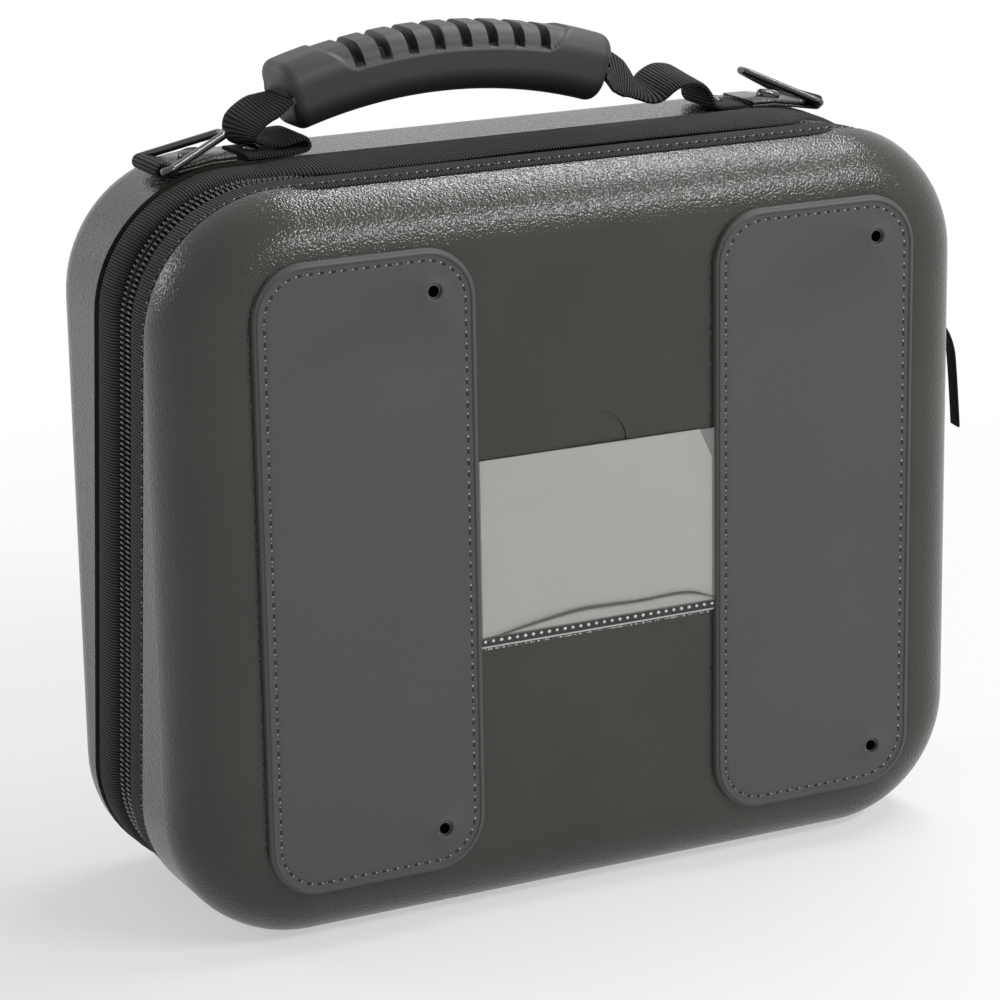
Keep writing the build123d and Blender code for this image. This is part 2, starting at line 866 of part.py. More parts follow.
with BuildPart() as ring_left:
    add(strap_ring(-1, ring_tilt_left))
ring_left.part.label = "ring_left"

with BuildPart() as ring_right:
    add(strap_ring(1, ring_tilt_right))
ring_right.part.label = "ring_right"

# Inside: a strap over the device and a flat pocket in the lid, both lying on the foam
with BuildPart() as device_strap:
    with BuildSketch(Plane.XZ.offset(-foam_floor + foam_gap / 2)):
        with Locations((0, mid_z)):
            Rectangle(device_width - 4 * foam_gap, device_strap_width)
    extrude(amount=device_strap_thickness)
device_strap.part.label = "device_strap"

with BuildPart() as lid_pocket:
    with BuildSketch(Plane.XZ.offset(foam_floor - foam_gap / 2)):
        with Locations((0, mid_z)):
            RectangleRounded(lid_pocket_width, lid_pocket_height, lid_pocket_corner)
    extrude(amount=-lid_pocket_thickness)
lid_pocket.part.label = "lid_pocket"

for piece in (
    front_shell, back_shell, front_liner, back_liner, front_foam, back_foam,
    front_binding, back_binding, front_zip_tape, back_zip_tape, front_zip_coil, back_zip_coil,
    hinge_strip_front, hinge_strip_back, zip_stops_front, zip_stops_back,
    left_pad, right_pad, pad_eyelets, card_window, card_insert,
    handle_grip, handle_webbing, handle_strap_left, handle_strap_right, strap_rivets,
    tab_rivets, ring_tab_left, ring_tab_right, ring_left, ring_right, device_strap, lid_pocket,
):
    export_step(piece.part, f"parts/{piece.part.label}.step")
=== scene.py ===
import math
from functools import partial

import bmesh
import bpy
import numpy as np
from mathutils import Matrix, Vector


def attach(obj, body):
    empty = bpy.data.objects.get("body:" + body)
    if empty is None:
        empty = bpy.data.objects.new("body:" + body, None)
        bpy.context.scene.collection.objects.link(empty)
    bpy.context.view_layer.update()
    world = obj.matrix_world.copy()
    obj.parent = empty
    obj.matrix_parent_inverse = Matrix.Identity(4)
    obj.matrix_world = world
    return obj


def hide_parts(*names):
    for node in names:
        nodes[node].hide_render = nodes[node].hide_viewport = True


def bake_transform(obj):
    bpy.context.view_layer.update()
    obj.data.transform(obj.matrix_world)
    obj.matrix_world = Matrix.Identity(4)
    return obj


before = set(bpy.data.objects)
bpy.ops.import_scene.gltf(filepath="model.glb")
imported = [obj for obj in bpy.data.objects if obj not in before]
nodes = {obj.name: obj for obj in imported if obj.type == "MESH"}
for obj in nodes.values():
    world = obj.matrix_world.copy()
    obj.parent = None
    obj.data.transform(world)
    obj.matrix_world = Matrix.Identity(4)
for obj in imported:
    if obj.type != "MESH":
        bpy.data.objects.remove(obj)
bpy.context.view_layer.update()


# Camera: stands to the left of the case and above it, with a long lens and a small shift.
# Its place and its turn, dip and roll were fitted to the case's outline, pads, seam and rings.
def put(name, data):
    """An object with this data, linked into the scene."""
    thing = bpy.data.objects.new(name, data)
    bpy.context.scene.collection.objects.link(thing)
    return thing


camera_at = Vector((-0.5880, -1.1725, 0.5142))
turn, dip, roll = math.radians(26.606), math.radians(14.989), math.radians(-0.860)
ahead = Vector((math.sin(turn) * math.cos(dip), math.cos(turn) * math.cos(dip), -math.sin(dip)))
level = Vector((math.cos(turn), -math.sin(turn), 0))
above = level.cross(ahead)
across = math.cos(roll) * level + math.sin(roll) * above
upward = -math.sin(roll) * level + math.cos(roll) * above
lens = bpy.data.cameras.new("camera")
lens.sensor_width, lens.lens = 36.0, 131.05
lens.shift_x, lens.shift_y = -0.0201, -0.0702
camera = put("camera", lens)
camera_turn = Matrix((across, upward, -ahead)).transposed().to_4x4()
camera.matrix_world = Matrix.Translation(camera_at) @ camera_turn
bpy.context.scene.camera = camera

# Moulded shells: a stiff sheet with a black coated cover, pressed with a fine pebble grain.
# Both are rigid mouldings, so the solids themselves carry the finish.
MM = 0.001
CASE_WIDTH, CASE_HEIGHT, CASE_DEPTH = 321.0, 273.0, 119.0
CORNER, FRONT_SHOULDER, BACK_SHOULDER = 49.5, 26.0, 18.0
LEAN, SEAM_FRONT = math.radians(6.84), -22.2


def new_group(name, values):
    """A shader node group with these named number inputs; returns it and its input node."""
    group = bpy.data.node_groups.new(name, "ShaderNodeTree")
    for label, value in values:
        group.interface.new_socket(label, in_out="INPUT", socket_type="NodeSocketFloat").default_value = value
    group.interface.new_socket("Vector", in_out="INPUT", socket_type="NodeSocketVector")
    group.interface.new_socket("Height", in_out="OUTPUT", socket_type="NodeSocketFloat")
    group.interface.new_socket("Mask", in_out="OUTPUT", socket_type="NodeSocketFloat")
    return group, group.nodes.new("NodeGroupInput"), group.nodes.new("NodeGroupOutput")


def math_node(tree, operation, a, b=None):
    """A Math node on two inputs, each a socket or a number; returns its result."""
    node = tree.nodes.new("ShaderNodeMath")
    node.operation = operation
    for socket, value in zip(node.inputs, (a, b)):
        if isinstance(value, (int, float)):
            socket.default_value = value
        elif value is not None:
            tree.links.new(value, socket)
    return node.outputs[0]


def texture(tree, kind, vector, scale, **settings):
    """A texture node read at a vector; returns the node."""
    node = tree.nodes.new(f"ShaderNodeTex{kind}")
    for name, value in settings.items():
        if name in node.inputs:
            node.inputs[name].default_value = value
        else:
            setattr(node, name, value)
    tree.links.new(vector, node.inputs["Vector"])
    if isinstance(scale, (int, float)):
        node.inputs["Scale"].default_value = scale
    else:
        tree.links.new(scale, node.inputs["Scale"])
    return node


pebble, pebble_in, pebble_out = new_group("pebble grain", [("Cells per metre", 1250.0)])
warp = texture(pebble, "Noise", pebble_in.outputs["Vector"], 350.0, Detail=2.0)
bent = pebble.nodes.new("ShaderNodeVectorMath")
bent.operation = "MULTIPLY_ADD"
bent.inputs[1].default_value = (0.0010,) * 3
pebble.links.new(warp.outputs["Color"], bent.inputs[0])
pebble.links.new(pebble_in.outputs["Vector"], bent.inputs[2])
cells = texture(
    pebble, "Voronoi", bent.outputs[0], pebble_in.outputs["Cells per metre"], feature="SMOOTH_F1"
)
cloud = texture(pebble, "Noise", pebble_in.outputs["Vector"], 22.0, Detail=3.0)
pits = texture(pebble, "Noise", pebble_in.outputs["Vector"], 1500.0, Detail=1.0)
pebble_math = partial(math_node, pebble)
hills = pebble_math("MULTIPLY", cells.outputs["Distance"], -1.0)
grain = pebble_math("ADD", hills, pebble_math("MULTIPLY", pits.outputs[0], 0.35))
pebble.links.new(grain, pebble_out.inputs["Height"])
pebble.links.new(cloud.outputs[0], pebble_out.inputs["Mask"])


def rgba(colour):
    """A colour with full alpha, from three numbers, or from one for a grey."""
    return (*colour, 1.0) if isinstance(colour, tuple) else (colour, colour, colour, 1.0)


def finish(name, colour, roughness, **sockets):
    """A material with plain values set on the shader itself; returns the material and its shader."""
    made = bpy.data.materials.new(name)
    made.use_nodes = True
    shader = made.node_tree.nodes["Principled BSDF"]
    shader.inputs["Base Color"].default_value = rgba(colour)
    shader.inputs["Roughness"].default_value = roughness
    for label, value in sockets.items():
        shader.inputs[label.replace("_", " ")].default_value = value
    return made, shader


def dress(name, colour, roughness, group, place, values, dark, light, rough, depth, **sockets):
    """A material that reads a group at Object or UV coordinates for its colour, roughness and bump."""
    material, shader = finish(name, colour, roughness, **sockets)
    tree = material.node_tree
    where = tree.nodes.new("ShaderNodeTexCoord")
    effect = tree.nodes.new("ShaderNodeGroup")
    effect.node_tree = group
    for label, value in values.items():
        effect.inputs[label].default_value = value
    tree.links.new(where.outputs[place], effect.inputs["Vector"])
    ramp = tree.nodes.new("ShaderNodeMix")
    ramp.data_type = "RGBA"
    ramp.inputs[6].default_value, ramp.inputs[7].default_value = rgba(dark), rgba(light)
    tree.links.new(effect.outputs["Mask"], ramp.inputs[0])
    tree.links.new(ramp.outputs[2], shader.inputs["Base Color"])
    span = tree.nodes.new("ShaderNodeMapRange")
    span.inputs["To Min"].default_value, span.inputs["To Max"].default_value = rough
    tree.links.new(effect.outputs["Mask"], span.inputs["Value"])
    tree.links.new(span.outputs[0], shader.inputs["Roughness"])
    bump = tree.nodes.new("ShaderNodeBump")
    bump.inputs["Distance"].default_value = depth
    tree.links.new(effect.outputs["Height"], bump.inputs["Height"])
    tree.links.new(bump.outputs[0], shader.inputs["Normal"])
    return material


def paint(objects, material):
    """Gives these objects one material."""
    for thing in objects:
        thing.data.materials.clear()
        thing.data.materials.append(material)


cover = dress(
    "grained cover", (0.03, 0.029, 0.026), 0.36, pebble, "Object", {"Cells per metre": 1250.0},
    (0.027, 0.0262, 0.0225), (0.048, 0.0465, 0.0398), (0.17, 0.26), 0.00019, Specular_IOR_Level=0.42,
)
paint([nodes["front_shell"], nodes["back_shell"]], cover)


# Zip bindings: ribbed tape sewn round the rim of each shell, rolled over into the zip's channel.
# The front one lies flat with a hem, the back one is fuller, like a piping.
def case_samples(step, per_corner=18):
    """Points round the case: corner-centre skeleton, outward normal and distance, from the bottom middle."""
    half_w, half_h = CASE_WIDTH / 2 - CORNER, CASE_HEIGHT / 2 - CORNER
    corners = [(half_w, -half_h, -90), (half_w, half_h, 0), (-half_w, half_h, 90), (-half_w, -half_h, 180)]
    stops = [(0.0, -half_h, -90.0)]
    for x, z, start in corners:
        stops += [(x, z, start + 90.0 * k / per_corner) for k in range(per_corner + 1)]
    stops.append((0.0, -half_h, 270.0))
    found, gone, last = [], 0.0, None
    for x, z, angle in stops:
        a = math.radians(angle)
        here = np.array([x, z, math.cos(a), math.sin(a)])
        if last is not None:
            length = math.dist(last[:2] + CORNER * last[2:], here[:2] + CORNER * here[2:])
            pieces = max(1, round(length / step))
            for k in range(1, pieces + 1):
                mid = last + (here - last) * k / pieces
                found.append((*mid, gone + length * k / pieces))
            gone += length
        last = here
    return found


def case_point(sample, station, inset):
    """Point at a station across the zip and an inset from the case's outside, in millimetres."""
    x, z, nx, nz, _ = sample
    drop = 0.0
    for _ in range(3):
        px, pz = x + nx * (CORNER - inset - drop), z + nz * (CORNER - inset - drop)
        y = SEAM_FRONT + (station - pz * math.sin(LEAN)) / math.cos(LEAN)
        drop = 0.0
        for past, round_off in (
            (-CASE_DEPTH / 2 + FRONT_SHOULDER - y, FRONT_SHOULDER - inset),
            (y - CASE_DEPTH / 2 + BACK_SHOULDER, BACK_SHOULDER - inset),
        ):
            if past > 0:
                drop = round_off - math.sqrt(max(0.0, round_off**2 - past**2))
    return (px, y, pz + CASE_HEIGHT / 2)


def keep_mesh(name, build, material, sharp):
    """A smooth object from a built mesh, with sharp edges past an angle in degrees."""
    bmesh.ops.recalc_face_normals(build, faces=build.faces)
    for face in build.faces:
        face.smooth = True
    mesh = bpy.data.meshes.new(name)
    build.to_mesh(mesh)
    build.free()
    mesh.materials.append(material)
    mesh.set_sharp_from_angle(angle=math.radians(sharp))
    return put(name, mesh)


def grid_piece(name, rows, material, closed=True, caps=False, lengths=None):
    """A mesh from rings of points, each ring closed; its UV map is in metres, round and along."""
    build = bmesh.new()
    uv = build.loops.layers.uv.new("UVMap")
    rings = [[build.verts.new(Vector(p) * MM) for p in row] for row in rows]
    count = len(rings[0])
    around = [0.0]
    for k in range(count):
        around.append(around[-1] + math.dist(rows[0][k], rows[0][(k + 1) % count]))
    if lengths is None:
        lengths = [0.0]
        for a, b in zip(rows, rows[1:] + rows[:1]):
            lengths.append(lengths[-1] + math.dist(np.mean(a, 0), np.mean(b, 0)))
    for i in range(len(rings) if closed else len(rings) - 1):
        first, second = rings[i], rings[(i + 1) % len(rings)]
        for k in range(count):
            n = (k + 1) % count
            face = build.faces.new((first[k], first[n], second[n], second[k]))
            spots = ((k, i), (k + 1, i), (k + 1, i + 1), (k, i + 1))
            for loop, (u, v) in zip(face.loops, spots):
                loop[uv].uv = (around[u] * MM, lengths[v] * MM)
    if caps:
        build.faces.new(rings[0][::-1])
        build.faces.new(rings[-1])
    return keep_mesh(name, build, material, 50)


cross_ribs, ribs_in, ribs_out = new_group("cross ribs", [("Rib pitch", 0.0009), ("Slub", 0.4)])
rib_math = partial(math_node, cross_ribs)
split = cross_ribs.nodes.new("ShaderNodeSeparateXYZ")
cross_ribs.links.new(ribs_in.outputs["Vector"], split.inputs[0])
phase = rib_math("DIVIDE", split.outputs["Y"], ribs_in.outputs["Rib pitch"])
wave = rib_math("ABSOLUTE", rib_math("SINE", rib_math("MULTIPLY", phase, math.pi)))
thread = rib_math("DIVIDE", split.outputs["X"], ribs_in.outputs["Rib pitch"])
slant = rib_math("MULTIPLY", rib_math("ADD", thread, phase), 5.2)
twist = rib_math("ABSOLUTE", rib_math("SINE", slant))
slub = texture(cross_ribs, "Noise", ribs_in.outputs["Vector"], 900.0, Detail=2.0)
fuzz = rib_math("MULTIPLY", slub.outputs[0], ribs_in.outputs["Slub"])
woven = rib_math("ADD", rib_math("ADD", wave, rib_math("MULTIPLY", twist, 0.25)), fuzz)
cross_ribs.links.new(woven, ribs_out.inputs["Height"])
# Mask: the rib tops are painted paler, a painted highlight, and slub noise varies it at random.
crest_highlight = rib_math("MULTIPLY", wave, wave)
cross_ribs.links.new(rib_math("MULTIPLY", crest_highlight, rib_math("ADD", fuzz, 0.7)), ribs_out.inputs["Mask"])


def ribbed(name, dark, light, pitch, depth):
    """Woven tape with ribs across it, black, with a painted highlight on the rib tops."""
    return dress(
        name, light, 0.8, cross_ribs, "UV", {"Rib pitch": pitch}, dark, light, (0.9, 0.6), depth,
        Specular_IOR_Level=0.2,
    )


binding_tape = ribbed("ribbed binding", 0.001, (0.060, 0.060, 0.058), 0.00115, 0.0006)
# Each profile lists places across the zip with their inset from the case's outside, in millimetres:
# the first of each two where the band lies flat, the second where it laps over along the top.
FRONT_BAND = [
    (1.2, 3.0), (1.2, 1.6), (1.2, 1.5), (1.3, 1.3), (1.6, 1.1), (2.4, 0.95), (8.0, 0.8), (12.0, 0.85), (14.4, 1.0),
    (15.8, 1.5), (16.6, 2.3), (17.0, 3.4), (16.8, 3.98), (12.2, 3.98), (12.0, 3.05),
]
FRONT_LAP = [
    (1.2, 3.0), (1.2, -0.05), (-3.7, -0.05), (-3.9, -0.35), (-3.2, -0.6), (2.0, -0.5), (8.0, 0.0), (12.0, 0.4),
    (14.4, 0.8), (15.8, 1.5), (16.6, 2.3), (17.0, 3.4), (16.8, 3.98), (12.2, 3.98), (12.0, 3.05),
]
BACK_BAND = [
    (46.8, 3.0), (46.8, 1.7), (46.3, 1.1), (45.0, 0.6), (42.5, 0.3), (39.5, 0.25), (36.5, 0.5), (34.0, 1.0),
    (32.3, 1.8), (31.3, 2.8), (31.0, 3.6), (31.2, 3.98), (35.8, 3.98), (36.0, 3.05),
]
BACK_LAP = [
    (46.8, 3.0), (46.8, 0.6), (46.2, -0.3), (44.0, -1.2), (39.0, -2.0), (32.0, -2.1), (26.0, -1.5), (21.5, -0.5),
    (18.8, 0.5), (18.0, 1.1), (18.2, 1.6), (19.5, 1.7), (31.0, 1.7), (36.0, 3.05),
]
# Where each lap starts, is full, and ends along the top, in X, and how far the back one gapes there.
FRONT_LAP_RUN, BACK_LAP_RUN = (-122.0, -96.0, 100.0, 126.0), (-104.0, -80.0, 100.0, 122.0)
GAPE, GAPE_RUN, GAPE_EDGE = 2.6, (-50.0, 5.0, 40.0, 118.0), 30.0
samples = case_samples(6.0)
zip_lengths = [s[4] for s in samples]
zip_lengths.append(zip_lengths[-1] + zip_lengths[0])


def top_cover(sample, start, full_from, full_to, end):
    """Share of the way that a band laps over along the top: full between two places in X, none outside."""
    if sample[3] < 0.9:
        return 0.0
    x = sample[0] + sample[2] * CORNER
    rise = min(1.0, max(0.0, (x - start) / (full_from - start))) * min(1.0, max(0.0, (end - x) / (end - full_to)))
    return rise * rise * (3 - 2 * rise)


def band_point(sample, half, flat, lapped):
    """Point on a band that lies flat round the case and laps over along the top."""
    if half == "front":
        share = top_cover(sample, *FRONT_LAP_RUN)
    else:
        share = top_cover(sample, *BACK_LAP_RUN)
        if lapped[0] < GAPE_EDGE:
            lapped = (lapped[0] + GAPE * top_cover(sample, *GAPE_RUN), lapped[1])
    station = flat[0] + (lapped[0] - flat[0]) * share
    return case_point(sample, station, flat[1] + (lapped[1] - flat[1]) * share)


for half, flat_line, lapped_line in (("front", FRONT_BAND, FRONT_LAP), ("back", BACK_BAND, BACK_LAP)):
    rows = [[band_point(s, half, a, b) for a, b in zip(flat_line, lapped_line)] for s in samples]
    band = grid_piece(f"{half}_band", rows, binding_tape, lengths=zip_lengths)
    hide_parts(f"{half}_binding")
    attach(band, f"{half}_half")

# Zip tapes: thin woven tape under the bindings, which the coils are sewn to.
# Along the bottom two plain strips sewn over them make the hinge.
tape_weave = ribbed("woven zip tape", 0.002, 0.016, 0.0007, 0.0002)
for half, start, end in (("front", 12.1, 22.95), ("back", 25.05, 35.9)):
    profile = [(start, 4.75), (start, 4.05), (end - 0.2, 4.05), (end, 4.2), (end, 4.6), (end - 0.2, 4.75)]
    rows = [[case_point(s, station, inset) for station, inset in profile] for s in samples]
    tape = grid_piece(f"{half}_tape", rows, tape_weave, lengths=zip_lengths)
    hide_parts(f"{half}_zip_tape")
    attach(tape, f"{half}_half")
HINGE_HALF, HINGE_STEPS = 99.8, 40
for half, start, end in (("front", 17.4, 23.8), ("back", 24.2, 30.6)):
    profile = [(start, 3.95), (start, 2.3), (start + 0.5, 1.85), (end - 0.5, 1.85), (end, 2.3), (end, 3.95)]
    rows = []
    for k in range(HINGE_STEPS + 1):
        x = -HINGE_HALF + 2 * HINGE_HALF * k / HINGE_STEPS
        flat = (x, CORNER - CASE_HEIGHT / 2, 0.0, -1.0, 0.0)
        rows.append([case_point(flat, station, inset) for station, inset in profile])
    strip = grid_piece(f"{half}_hinge_tape", rows, tape_weave, closed=False, caps=True)
    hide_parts(f"hinge_strip_{half}")
    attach(strip, f"{half}_half")


# Zip coils: nylon wire wound into teeth and sewn to each tape edge, one tooth every two millimetres.
# Each tooth is a small bean with a head at the meshing edge, set along the zip by one node tree.
def repeat_tree(name):
    """Node tree that sets a piece along a line, turned to the line and to a facing vector."""
    tree = bpy.data.node_groups.new(name, "GeometryNodeTree")
    for label, kind in (
        ("Line", "Geometry"), ("Piece", "Object"), ("Pitch", "Float"), ("Facing", "Vector"),
        ("Size spread", "Float"), ("Finish", "Material"),
    ):
        tree.interface.new_socket(label, in_out="INPUT", socket_type=f"NodeSocket{kind}")
    tree.interface.new_socket("Pieces", in_out="OUTPUT", socket_type="NodeSocketGeometry")
    n, link = tree.nodes.new, tree.links.new
    given, out = n("NodeGroupInput"), n("NodeGroupOutput")
    curve, points = n("GeometryNodeMeshToCurve"), n("GeometryNodeResampleCurve")
    points.mode = "LENGTH"
    thing, place = n("GeometryNodeObjectInfo"), n("GeometryNodeInstanceOnPoints")
    tangent, turn_to = n("GeometryNodeInputTangent"), n("FunctionNodeAxesToRotation")
    turn_to.primary_axis, turn_to.secondary_axis = "X", "Z"
    random, one = n("FunctionNodeRandomValue"), n("ShaderNodeMath")
    random.inputs["Seed"].default_value = 7
    random.inputs[2].default_value = 0.0
    one.operation = "SUBTRACT"
    one.inputs[0].default_value = 1.0
    real, coat = n("GeometryNodeRealizeInstances"), n("GeometryNodeSetMaterial")
    link(given.outputs["Line"], curve.inputs[0])
    link(curve.outputs[0], points.inputs["Curve"])
    link(given.outputs["Pitch"], points.inputs["Length"])
    link(points.outputs[0], place.inputs["Points"])
    link(given.outputs["Piece"], thing.inputs["Object"])
    link(thing.outputs["Geometry"], place.inputs["Instance"])
    link(tangent.outputs[0], turn_to.inputs["Primary Axis"])
    link(given.outputs["Facing"], turn_to.inputs["Secondary Axis"])
    link(turn_to.outputs[0], place.inputs["Rotation"])
    link(given.outputs["Size spread"], random.inputs[3])
    link(random.outputs[1], one.inputs[1])
    link(one.outputs[0], place.inputs["Scale"])
    link(place.outputs[0], real.inputs[0])
    link(real.outputs[0], coat.inputs["Geometry"])
    link(given.outputs["Finish"], coat.inputs["Material"])
    link(coat.outputs[0], out.inputs[0])
    return tree


along_line = repeat_tree("pieces along a line")


def as_mesh(thing):
    """The plain mesh that an object's modifiers or curve come to."""
    bpy.context.view_layer.update()
    return bpy.data.meshes.new_from_object(thing.evaluated_get(bpy.context.evaluated_depsgraph_get()))


def set_along(name, points, closed, piece, pitch, facing, spread, material):
    """Sets a small piece along a line of points in millimetres, and leaves one plain mesh."""
    mesh = bpy.data.meshes.new(name)
    edges = [(k, k + 1) for k in range(len(points) - 1)] + ([(len(points) - 1, 0)] if closed else [])
    mesh.from_pydata([Vector(p) * MM for p in points], edges, [])
    host = put(name, mesh)
    modifier = host.modifiers.new("repeat", "NODES")
    modifier.node_group = along_line
    sockets = {s.name: s.identifier for s in along_line.interface.items_tree if s.in_out == "INPUT"}
    for label, value in (
        ("Piece", piece), ("Pitch", pitch * MM), ("Facing", Vector(facing)), ("Size spread", spread),
        ("Finish", material),
    ):
        modifier[sockets[label]] = value
    made = as_mesh(host)
    host.modifiers.clear()
    host.data = made
    return host


def bean(name, length, width, height, rings=7, around=8):
    """A small rounded grain, long in X, wide in Y and high in Z, in millimetres."""
    rows = []
    for i in range(rings):
        t = math.pi * (i + 0.5) / rings
        rows.append([
            (-math.cos(t) * length / 2, math.sin(t) * math.cos(a) * width / 2, math.sin(t) * math.sin(a) * height / 2)
            for a in (2 * math.pi * k / around for k in range(around))
        ])
    return grid_piece(name, rows, cover, closed=False, caps=True)


speck, speck_in, speck_out = new_group("fine speckle", [("Specks per metre", 700.0)])
speck_math, speck_at = partial(math_node, speck), speck_in.outputs["Vector"]
fine = texture(speck, "Noise", speck_at, speck_in.outputs["Specks per metre"], Detail=4.0)
broad = texture(speck, "Noise", speck_at, 18.0, Detail=3.0)
speck.links.new(fine.outputs[0], speck_out.inputs["Height"])
both = speck_math("ADD", speck_math("MULTIPLY", fine.outputs[0], 0.6), speck_math("MULTIPLY", broad.outputs[0], 0.4))
speck.links.new(both, speck_out.inputs["Mask"])


def speckled(name, colour, roughness, specks, dark, light, rough, depth, **sockets):
    """A material with this many fine specks to the metre over a broad cloudiness."""
    values = {"Specks per metre": specks}
    return dress(name, colour, roughness, speck, "Object", values, dark, light, rough, depth, **sockets)


nylon = speckled("nylon coil", 0.012, 0.3, 500.0, 0.003, 0.016, (0.18, 0.32), 0.00002, Coat_Weight=0.15)
across_zip = Vector((0, math.cos(LEAN), math.sin(LEAN)))
tooth = bean("tooth", 1.15, 1.9, 4.4)
head = bean("tooth_head", 1.35, 2.1, 1.3)
TOOTH_PITCH, TOOTH_SPREAD, COIL_INSET, COIL_END = 2.0, 0.04, 2.9, 104
open_run = [s for s in samples if not (s[3] < -0.999 and abs(s[0]) < COIL_END)]
for half, middle, edge in (("front", 20.8, 22.45), ("back", 27.2, 25.55)):
    teeth, heads = (
        set_along(
            name, [case_point(s, station, COIL_INSET) for s in open_run], False, grain_piece,
            TOOTH_PITCH, across_zip, TOOTH_SPREAD, nylon,
        )
        for name, station, grain_piece in ((f"{half}_coil", middle, tooth), (f"{half}_coil_heads", edge, head))
    )
    for thing in (teeth, heads):
        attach(thing, f"{half}_half")
    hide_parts(f"{half}_zip_coil")
for spare in (tooth, head):
    bpy.data.objects.remove(spare)

# Zip sliders, pull links and end stops: die-cast and pressed metal with black enamel.
# They are rigid, so the solids carry the finish.
enamel = speckled(
    "black enamel", 0.02, 0.25, 300.0, 0.004, 0.014, (0.16, 0.3), 0.00002, Coat_Weight=0.5, Coat_Roughness=0.12
)
enamelled = (
    "slider_upper", "slider_lower", "pull_link_upper", "pull_link_lower",
    "zip_stops_front", "zip_stops_back", "ring_left", "ring_right",
)
paint([nodes[name] for name in enamelled], enamel)


# Ribbon pulls: stiff narrow ribbed tape, one riveted to each slider's link. Both hang down
# beside the case, a little clear of its side.
def evenly(raw, count=0, step=1.0):
    """Evenly spaced points on a line of points, a count in all or a step apart, and their distances."""
    gone = np.concatenate([[0], np.cumsum(np.linalg.norm(np.diff(raw, axis=0), axis=1))])
    marks = np.linspace(0, gone[-1], count or max(2, int(gone[-1] / step)))
    return np.stack([np.interp(marks, gone, raw[:, k]) for k in range(3)], 1), marks


def smooth_path(points, step):
    """Evenly spaced points on the NURBS line that has these control points, and their distances."""
    line = bpy.data.curves.new("route", "CURVE")
    line.dimensions = "3D"
    spline = line.splines.new("NURBS")
    spline.points.add(len(points) - 1)
    for point, place in zip(spline.points, points):
        point.co = (*place, 1.0)
    spline.order_u = 3
    spline.use_endpoint_u = True
    spline.resolution_u = 24
    host = put("route", line)
    mesh = as_mesh(host)
    raw = np.array([v.co for v in mesh.vertices])
    bpy.data.objects.remove(host)
    bpy.data.meshes.remove(mesh)
    return evenly(raw, step=step)


def webbing(
    name, points, side, width, thickness, material, rolls=((0, 0), (1, 0)), widths=((0, 1), (1, 1)), cup=0.0, step=1.2
):
    """Flat tape along a route, with a roll angle, a width share and a cupping that vary along it."""
    path, marks = smooth_path(points, step)
    share = marks / marks[-1]
    roll_at = np.radians(np.interp(share, [r[0] for r in rolls], [r[1] for r in rolls]))
    wide_at = np.interp(share, [w[0] for w in widths], [w[1] for w in widths])
    tangents = np.gradient(path, axis=0)
    section, half = [], thickness / 2
    for q in np.linspace(-1, 1, 13):
        section.append((q, half if abs(q) < 0.99 else half * 0.45))
    section += [(q, -p) for q, p in section[::-1]]
    rows = []
    for place, along, angle, wide in zip(path, tangents, roll_at, wide_at):
        along = Vector(along).normalized()
        aside = Vector(side)
        aside = (aside - aside.dot(along) * along).normalized()
        over = along.cross(aside)
        turn_by = Matrix.Rotation(angle, 3, along)
        aside, over = turn_by @ aside, turn_by @ over
        rows.append([
            Vector(place) + aside * (q * width / 2 * wide) + over * (p + cup * (1 - wide) * (1 - q * q))
            for q, p in section
        ])
    return grid_piece(name, rows, material, closed=False, caps=True)


RIBBON_WIDTH, RIBBON_THICKNESS, SEAM_STATION = 6.0, 1.2, 24.0
ribbon_tape = ribbed("pull ribbon", 0.002, 0.025, 0.0008, 0.0004)
zip_up = Vector((0, -math.sin(LEAN), math.cos(LEAN)))
for which, z, shift, route in (
    ("upper", 197.0, -3.4, [(12.6, -6.0), (24.0, -15.0), (28.5, -40.0), (31.0, -57.0)]),
    ("lower", 184.0, 3.4, [(12.6, -6.0), (21.0, -15.0), (25.0, -32.0), (27.0, -45.0)]),
):
    base_y = SEAM_FRONT + (SEAM_STATION - (z - CASE_HEIGHT / 2) * math.sin(LEAN)) / math.cos(LEAN)
    start = Vector((CASE_WIDTH / 2, base_y, z)) + across_zip * shift
    route = [start + Vector((out, 0, 0)) + zip_up * along for out, along in route]
    tail = webbing(f"{which}_ribbon", route, across_zip, RIBBON_WIDTH, RIBBON_THICKNESS, ribbon_tape)
    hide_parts(f"ribbon_{which}")
    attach(tail, f"{which}_pull")

# Mounting pads: two moulded rubber strips sewn to the front shell with black thread, each with a
# raised bead round its rim, a boss at each of its two holes, and the stitches just inside the bead.
PAD_WIDTH, PAD_HEIGHT, PAD_CORNER, PAD_MIDDLE, PAD_CENTRE = 84.0, 229.0, 19.5, 136.3, 90.0
HOLE_FROM_SIDE, HOLE_FROM_END, SEAM_INSET = 16.0, 15.5, 4.1


def shell_front(x, z):
    """Y of the front shell's outside, which falls away at the shoulder, in millimetres."""
    over = 0.0
    half_w, half_h = CASE_WIDTH / 2, CASE_HEIGHT / 2
    for past in (abs(x) - half_w + FRONT_SHOULDER, abs(z - half_h) - half_h + FRONT_SHOULDER):
        if past > 0:
            over = max(over, FRONT_SHOULDER - math.sqrt(max(0.0, FRONT_SHOULDER**2 - past**2)))
    return -CASE_DEPTH / 2 + over


